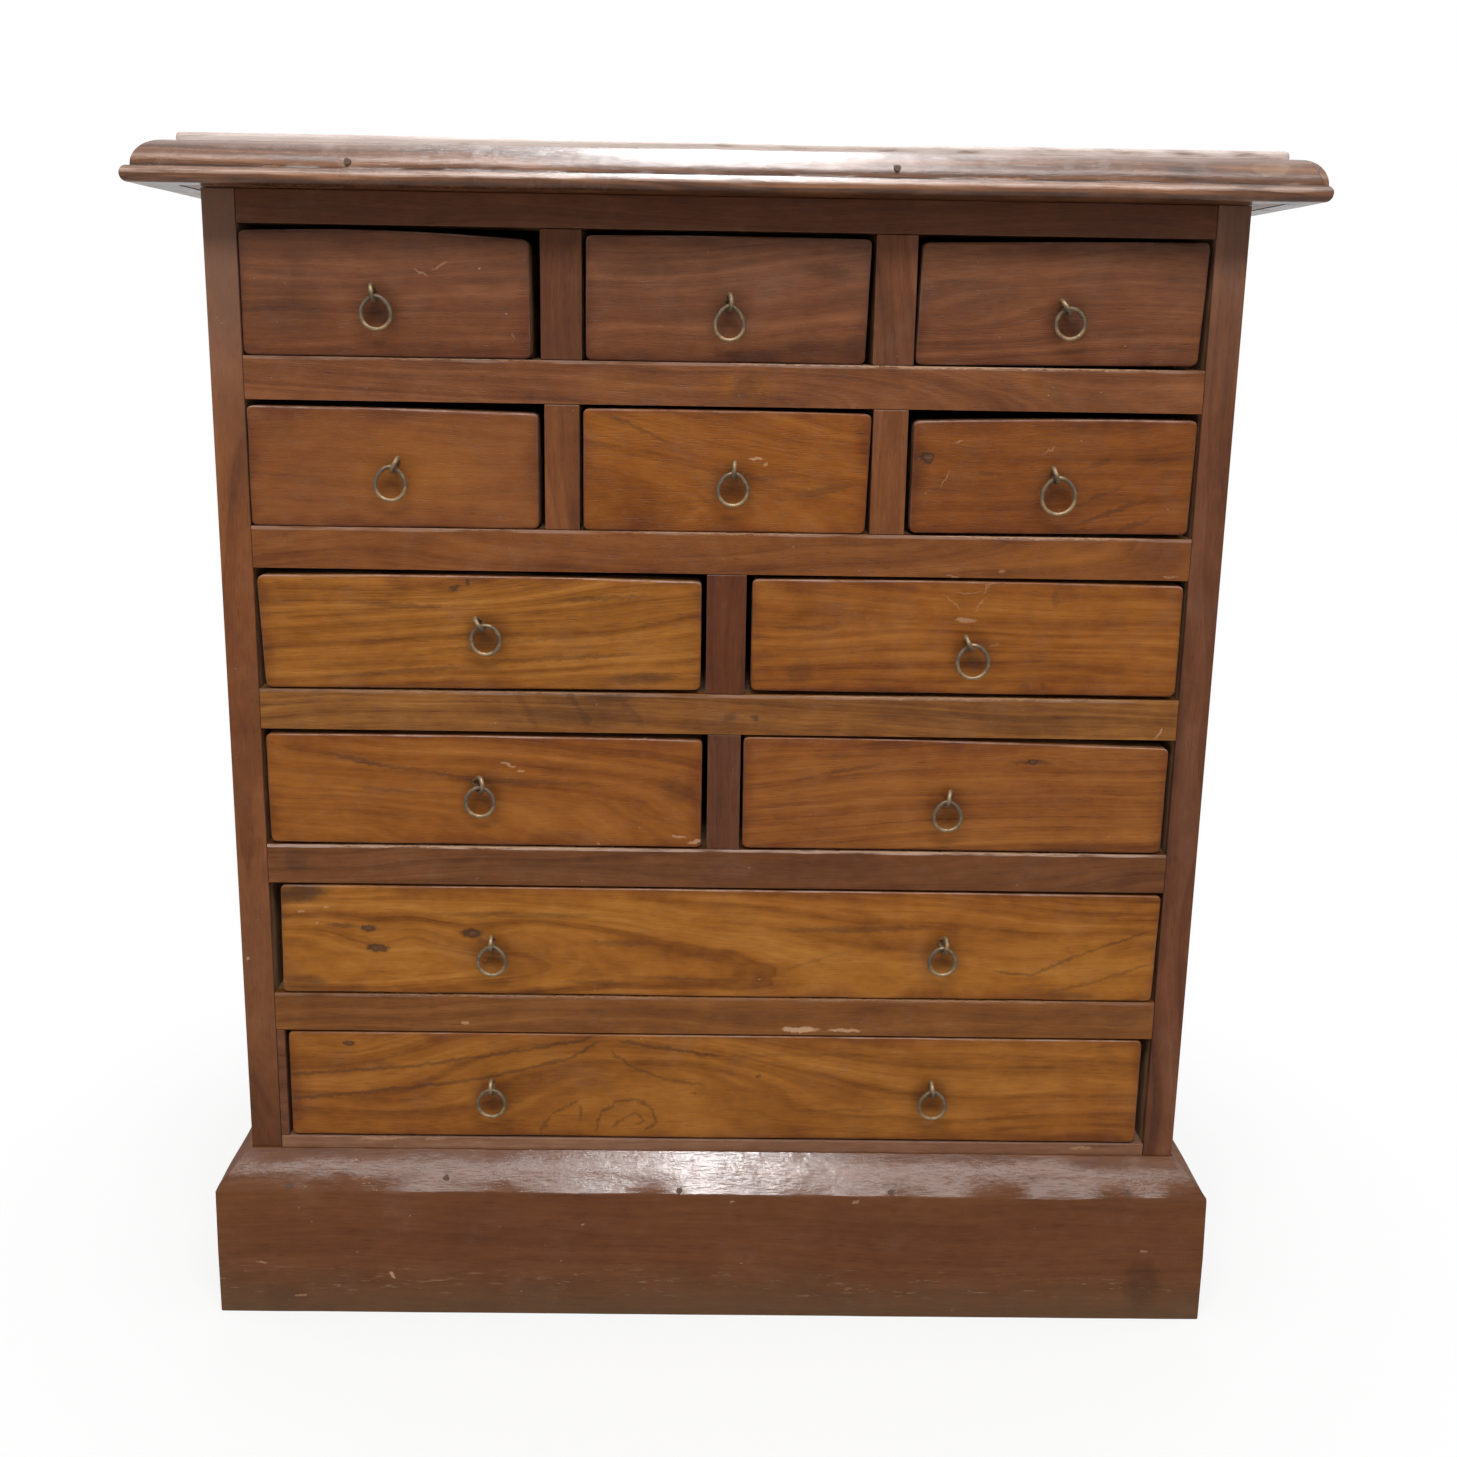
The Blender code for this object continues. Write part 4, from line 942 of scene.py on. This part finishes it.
def ring_offset(tilt, bend):
    """From the pin's place in the drawer's front to the wire of the ring that rests in its eye."""
    rim = EYE_INNER_RADIUS * math.cos((math.pi - EYE_NECK_ANGLE) / EYE_LOOP_STEPS)
    edge = EYE_WIRE_HALF_WIDTH * max(-1, min(1, tilt / EDGE_REST_ANGLE))
    across = EYE_WIRE_HALF_WIDTH * math.tan(abs(bend)) + RING_WIRE_RADIUS * math.sin(abs(bend))
    lift = RING_WIRE_RADIUS + LINK_GAP + rim - math.sqrt(rim ** 2 - across ** 2)
    eye_centre = Matrix.Rotation(bend, 3, "Z") @ Vector((0, -EYE_STANDOFF, 0))
    rest = Matrix.Rotation(tilt, 3, "Y") @ (eye_centre + Vector((-edge, 0, -rim)))
    return rest + Vector((0, 0, lift))


def make_eye(name, tilt, bend, pivot, material, body):
    """A split pin of half-round wire, whose eye leans by tilt and turns aside by bend."""
    bm = bmesh.new()
    path, sides = eye_path(bend)
    frames = []
    for index, sideways in enumerate(sides):
        ahead = path[min(index + 1, len(path) - 1)] - path[index]
        behind = path[index] - path[max(index - 1, 0)]
        outward = (ahead.normalized() + behind.normalized()).cross(sideways).normalized()
        stretch = 1.0
        if ahead.length and behind.length:
            stretch = 1 / outward.dot(ahead.cross(sideways).normalized())
        frames.append((outward * stretch, sideways))
    section = [(0, -EYE_WIRE_HALF_WIDTH)]
    for step in range(1, 12):
        angle = math.pi * step / 12 - math.pi / 2
        section.append((EYE_WIRE_THICKNESS * math.cos(angle) ** 0.7, EYE_WIRE_HALF_WIDTH * math.sin(angle)))
    section.append((0, EYE_WIRE_HALF_WIDTH))
    sweep(bm, path, frames, section, closed=False)
    place = Vector(pivot) - ring_offset(tilt, bend)
    bm.transform(Matrix.Translation(place) @ Matrix.Rotation(tilt, 4, "Y"))
    eye = new_piece("split_pin_" + name, bm, [material], body, 48)
    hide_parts("eye_" + name)
    return place


def make_collar(name, pin, tilt, body, material):
    """Dark wax and dirt packed round the pin, with a slot for its two legs."""
    bm = bmesh.new()
    loops = []
    # Half width, half height and depth of each loop
    for wide, high, sink in ((0.00235, 0.00235, 0.0009), (0.00215, 0.00215, 0.00025),
                             (0.00128, 0.00175, 0.0), (0.00128, 0.00175, 0.0012)):
        loops.append([bm.verts.new((wide * math.cos(angle), sink, high * math.sin(angle)))
                      for angle in round_angles(28)])
    skin(bm, loops, looped=True)
    bm.transform(Matrix.Translation(pin) @ Matrix.Rotation(tilt, 4, "Y"))
    collar = new_piece("pin_collar_" + name, bm, [material], body, 50)


def make_ring(name, size_share, drawn_share, pivot, material):
    """A hand-bent ring with a butt joint, round where its solid has flats."""
    bm = bmesh.new()
    radius = size_share * RING_DIAMETER / 2 - RING_WIRE_RADIUS

    def point(angle):
        outward = Vector((math.sin(angle), 0, math.cos(angle)))
        return (outward + Vector((0, 0, drawn_share * max(math.cos(angle), 0) ** 3))) * radius

    rest = Vector((0, 0, point(math.pi / SOLID_RING_STEPS).z))
    angles = round_angles(RING_STEPS)
    path = [point(angle) - rest for angle in angles]
    frames = [(Vector((math.sin(angle), 0, math.cos(angle))), Vector((0, 1, 0))) for angle in angles]
    section = [(ROUND_WIRE_RADIUS * math.cos(turn), ROUND_WIRE_RADIUS * math.sin(turn))
               for turn in round_angles(WIRE_SIDES)]
    sweep(bm, path, frames, section, closed=True)
    bm.transform(Matrix.Translation(pivot))
    ring = new_piece("pull_ring_" + name, bm, [material], "ring_" + name, 60)
    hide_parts("ring_" + name)


def make_plinth():
    """Skirting whose broad chamfer holds more wax than its face."""
    look = dict(seed=43.8, pith=(0.09, -0.10), ring=0.008, board=along_mitres, worn=False,
                seams=mitre_lines)
    face = teak("plinth_teak", PLINTH_RED, foot=0.50, contrast=0.16, gloss=0.10, relief_share=0.8,
                plane=FRONT_Y - PLINTH_PROJECTION,
                chips=[(-207.5, 27.6, 3.2, 1.6, -50, 0.9), (92, 83, 3, 1.2, 30, 0.5),
                       (-292, 36, 4, 1.2, 0, 0.5), (-268, 12, 5, 1.0, 0, 0.5), (282, 50, 3, 1.2, 0, 0.4)],
                darks=[(281, 26, 16, 24, 0, 0.50), (-280, 12, 20, 14, 0, 0.30), (120, 60, 90, 16, 0, 0.20),
                       (-120, 58, 80, 14, 4, 0.18)], **look)
    chamfer = teak("plinth_chamfer_teak", PLINTH_RED, contrast=0.35, shine=0.17, gloss=0.16, lumps=0.0012,
                   relief_share=0.22, dust=0.5, dents=0.00030, plane=FRONT_Y - 0.012,
                   darks=[(-172, 97, 4, 2, 0, 0.5), (115, 91, 5, 2, 30, 0.6), (268, 92, 4, 2, 0, 0.5),
                          (-22, 90, 5, 2, 0, 0.6)], **look)
    out, top, land, radius = PLINTH_PROJECTION, PLINTH_HEIGHT, PLINTH_LAND, 0.003
    turn = math.pi / 2 - math.atan2(top - PLINTH_ARRIS, out - land)
    centre = (out - radius, PLINTH_ARRIS - radius * math.tan(turn / 2))
    profile = [(SEAT, 0, 0, 0), (out - 0.0012, 0, 0, 0), (out - 0.0003, 0.0004, 0.0002, 0),
               (out, 0.0014, 0, 0), (out, 0.045, 0, 0)]
    profile += arc(centre, (radius, radius), 0, turn, 6, 0.0007, 1)
    profile += [((out + land) / 2, (top + PLINTH_ARRIS) / 2, 0.0002, 1),
                (land + 0.0005, top - 0.0004, 0.0002, 1), (land - 0.0003, top, 0, 1), (SEAT, top, 0, 0)]
    mitred_run("skirting", "plinth", profile, 0.0, [face, chamfer])


def moulding_profile(inner, quirk, ovolo):
    """Ovolo over a quirk and a half-round bead."""
    overhang, bead_height, bead_depth, height = 0.0345, 0.0089, 0.0036, 0.024
    quarter = math.pi / 2
    bead = arc((overhang - bead_depth, bead_height / 2), (bead_depth, bead_height / 2),
               -quarter, quarter, 16, 0.0003, 0)
    curve = arc((overhang - quirk - ovolo, bead_height), (ovolo, height - bead_height),
                0.02, quarter, 16, 0.00035, 0)
    return [(inner, 0, 0, 0), *bead, (overhang - quirk + 0.0001, bead_height - 0.0002, 0, 0), *curve,
            (inner, height, 0, 0)]


def make_moulding():
    """Moulding nailed round the top board, its right side set further out."""
    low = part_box("top_moulding")[0].z
    wood = teak("top_moulding_teak", MOULDING_BROWN, seed=42.6, pith=(0.05, 0.66), board=along_mitres,
                seams=mitre_lines, worn=False, shine=0.27, gloss=0.33, dust=0.8, lumps=0.0009,
                dents=0.00030, relief_share=0.3, plane=FRONT_Y - 0.028,
                # Bands: painted shade under the bead, its crest paler with wear and a painted highlight,
                # and the quirk dark with dirt and painted shade
                trims=[(low - 0.001, low + 0.0026, (0.045, 0.018, 0.009), 0.80, 1.0),
                       (low + 0.0050, low + 0.0078, (0.420, 0.280, 0.210), 0.55, 1.0),
                       (low + 0.0086, low + 0.0096, (0.030, 0.012, 0.006), 0.85, 1.0)],
                darks=[(255, 721, 24, 4.5, 0, 0.75), (-233, 718, 16, 1.4, 0, 0.6),
                       (-95, 717, 10, 1.2, 8, 0.5)],
                chips=[(-190, 716, 4, 0.8, 10, 0.4), (-252, 713.5, 8, 0.8, 0, 0.4),
                       (150, 713.8, 22, 0.7, 0, 0.4), (300, 722, 14, 5, 0, 0.25)])
    mitred_run("crown_moulding", "top_moulding", moulding_profile(0.0100, 0.0048, 0.0165), low, [wood],
               moulding_profile(0.0166, 0.0014, 0.0135))


def make_back():
    """Five bare boards nailed into the rebates."""
    low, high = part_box("back_panel")
    count, gap = 5, 0.00003
    width = (high.x - low.x) / count
    wood = teak("back_board_teak", RAW_WOOD, seed=44.5, grain="Z", pith=(0.06, 0.0), ring=0.009,
                contrast=0.8, shine=0.72, cells=(low.x, width), lumps=0.0012)
    bm = bmesh.new()
    for index in range(count):
        left, right = low.x + index * width + gap, low.x + (index + 1) * width - gap
        inset = 0.0005 * unevenness(index, 1.7, 3.0)
        rounded_box(bm, (left, low.y + 0.0002, low.z), (right, high.y - inset, high.z), 0.0012)
    boards = new_piece("back_boards", bm, [wood], "carcase", 40)
    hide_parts("back_panel")


make_plinth()
make_moulding()
make_back()
for index, (name, look) in enumerate(FRONTS.items()):
    make_drawer(name, look, index)

collar_wax = dark_fill("dark_wax", 1100.0, (0.030, 0.014, 0.007), (0.110, 0.050, 0.022), 0.6)
for index, (name, tilt, bend, size_share, drawn_share) in enumerate(PULLS):
    hinge = joints["ring_" + name + "_swing"]
    metal = brass("brass_" + name, 1.7 * index, hinge["pos_m"][2])
    tilt, bend = math.radians(tilt), math.radians(bend)
    pin = make_eye(name, tilt, bend, hinge["pos_m"], metal, hinge["parent"])
    make_collar(name, pin, tilt, hinge["parent"], collar_wax)
    make_ring(name, size_share, drawn_share, hinge["pos_m"], metal)


def nail_places():
    """Filled nails in the moulding and the plinth: place, and the way that each faces."""
    slope = (PLINTH_PROJECTION - PLINTH_LAND, PLINTH_HEIGHT - PLINTH_ARRIS)

    def out(z):
        return PLINTH_PROJECTION - (z - PLINTH_ARRIS) * slope[0] / slope[1]

    nails = [((0.0929, FRONT_Y - 0.0295, 0.7186), (0, -1, 0.45)),
             ((-0.2100, FRONT_Y - 0.0300, 0.7168), (0, -1, 0.35))]
    for x, z in ((-0.2727, 0.0895), (0.2683, 0.0897), (-0.1724, 0.0942), (0.1150, 0.0892),
                 (-0.0220, 0.0890)):
        nails.append(((x, FRONT_Y - out(z), z), (0, -slope[1], slope[0])))
    for side in (-1, 1):
        for y in (-0.115, 0.010, 0.135):
            z = 0.0955
            nails.append(((side * (CARCASE_HALF + out(z)), y, z), (side * slope[1], 0, slope[0])))
            nails.append(((side * (CARCASE_HALF + 0.0298), y + 0.02, 0.7172), (side, 0, 0.4)))
    return nails


def make_nails():
    material = dark_fill("filled_nail", 900.0, (0.050, 0.026, 0.017), (0.125, 0.070, 0.046), 0.7, 0.10)
    bm = bmesh.new()
    for index, (place, facing) in enumerate(nail_places()):
        turn = Vector(facing).to_track_quat("Z", "Y").to_matrix().to_4x4()
        rings = []
        for share, lift in ((1.0, -0.0004), (0.95, 0.00003), (0.5, 0.0001)):
            ring = []
            for angle in round_angles(14):
                radius = NAIL_RADIUS * share * (1 + 0.12 * math.sin(3 * angle + index))
                local = Vector((radius * math.cos(angle), radius * math.sin(angle), lift))
                ring.append(bm.verts.new(Vector(place) + turn @ local))
            rings.append(ring)
        skin(bm, rings)
    nails = new_piece("filled_nails", bm, [material], "carcase", 50)


make_nails()

# Floor, light and camera
AMBIENT = 0.43
SENSOR_MM = 36.0
FRAME_PIXELS = 1457
FOCAL_PIXELS = 1700
EYE_POINT = (-0.00829, -1.16106, 0.63721)


def make_floor():
    """A plain pale floor, white as seen from some way off the chest, that keeps its shadow."""
    net = Net("studio_floor")
    point = net.place()
    colour = net.mix(net.noise(point, 1.5), (0.80, 0.80, 0.80), (0.84, 0.84, 0.83))
    material = net.surface(colour, 0.9, None, specular=0.1)
    far = net.ease(net.vector("LENGTH", point), 0.30, 0.62, 0.76, 1.0)
    white = net.add("ShaderNodeEmission", [(0, (1.0, 1.0, 1.0, 1.0)), (1, 1.0)])
    blended = net.add("ShaderNodeMixShader", [(0, net.times(net.seen(), far)), (1, net.shader.outputs[0]),
                                              (2, white.outputs[0])])
    net.put(net.tree.nodes["Material Output"].inputs["Surface"], blended.outputs[0])
    bm = bmesh.new()
    bmesh.ops.create_grid(bm, x_segments=2, y_segments=2, size=6.0)
    mesh = bpy.data.meshes.new("studio_floor")
    bm.to_mesh(mesh)
    bm.free()
    mesh.materials.append(material)
    floor = bpy.data.objects.new("studio_floor", mesh)
    bpy.context.scene.collection.objects.link(floor)


def make_world():
    """White where it is seen, and a soft even light on the object."""
    world = bpy.data.worlds.new("studio")
    bpy.context.scene.world = world
    net = Net("studio", world)
    background = net.tree.nodes["Background"]
    background.inputs[0].default_value = (1.0, 1.0, 1.0, 1.0)
    net.put(background.inputs[1], net.ease(net.seen(), 0.0, 1.0, AMBIENT, 1.0))


def soft_box(name, place, target, size, radiance, glossy_only=False, tint=(1.0, 1.0, 1.0)):
    """A rectangular lamp, aimed at a target."""
    light = bpy.data.lights.new(name, "AREA")
    light.shape = "RECTANGLE"
    light.size, light.size_y = size
    light.energy = radiance * math.pi * size[0] * size[1]
    light.color = tint
    obj = bpy.data.objects.new(name, light)
    obj.visible_diffuse = not glossy_only
    direction = Vector(target) - Vector(place)
    obj.matrix_world = Matrix.Translation(place) @ direction.to_track_quat("-Z", "Y").to_matrix().to_4x4()
    bpy.context.scene.collection.objects.link(obj)


def make_camera():
    """The photograph's camera, as fitted to the chest's measured corners."""
    yaw, pitch, roll = (math.radians(angle) for angle in (0.76, -13.62, 0.95))
    forward = Vector((math.sin(yaw) * math.cos(pitch), math.cos(yaw) * math.cos(pitch), math.sin(pitch)))
    right = Vector((math.cos(yaw), -math.sin(yaw), 0))
    up = right.cross(forward)
    c, s = math.cos(roll), math.sin(roll)
    right, up = right * c + up * s, up * c - right * s
    data = bpy.data.cameras.new("photo_camera")
    data.sensor_width = SENSOR_MM
    data.lens = FOCAL_PIXELS / FRAME_PIXELS * SENSOR_MM
    camera = bpy.data.objects.new("photo_camera", data)
    place = Matrix((right, up, -forward)).transposed().to_4x4()
    place.translation = EYE_POINT
    camera.matrix_world = place
    bpy.context.scene.collection.objects.link(camera)
    bpy.context.scene.camera = camera


make_floor()
make_world()
soft_box("key_box", (0.02, -1.85, 2.50), (0.0, -0.15, 0.45), (2.4, 0.55), 15.5)
soft_box("glint_strip", (0.01, -0.25, 2.50), (0.01, -0.25, 0.0), (0.15, 3.8), 138.0, glossy_only=True,
         tint=(0.94, 0.97, 1.0))
soft_box("ceiling", (0.0, 0.0, 2.70), (0.0, 0.0, 0.0), (3.0, 4.0), 1.3, glossy_only=True)
soft_box("side_box_left", (-3.0, 0.3, 1.6), (0.0, 0.0, 0.35), (1.8, 1.8), 1.5)
soft_box("side_box_right", (3.0, 0.3, 1.6), (0.0, 0.0, 0.35), (1.8, 1.8), 1.5)
soft_box("back_box", (0.0, 3.0, 1.8), (0.0, 0.0, 0.35), (2.0, 1.6), 2.0)
make_camera()
bpy.context.scene.view_settings.view_transform = "Standard"
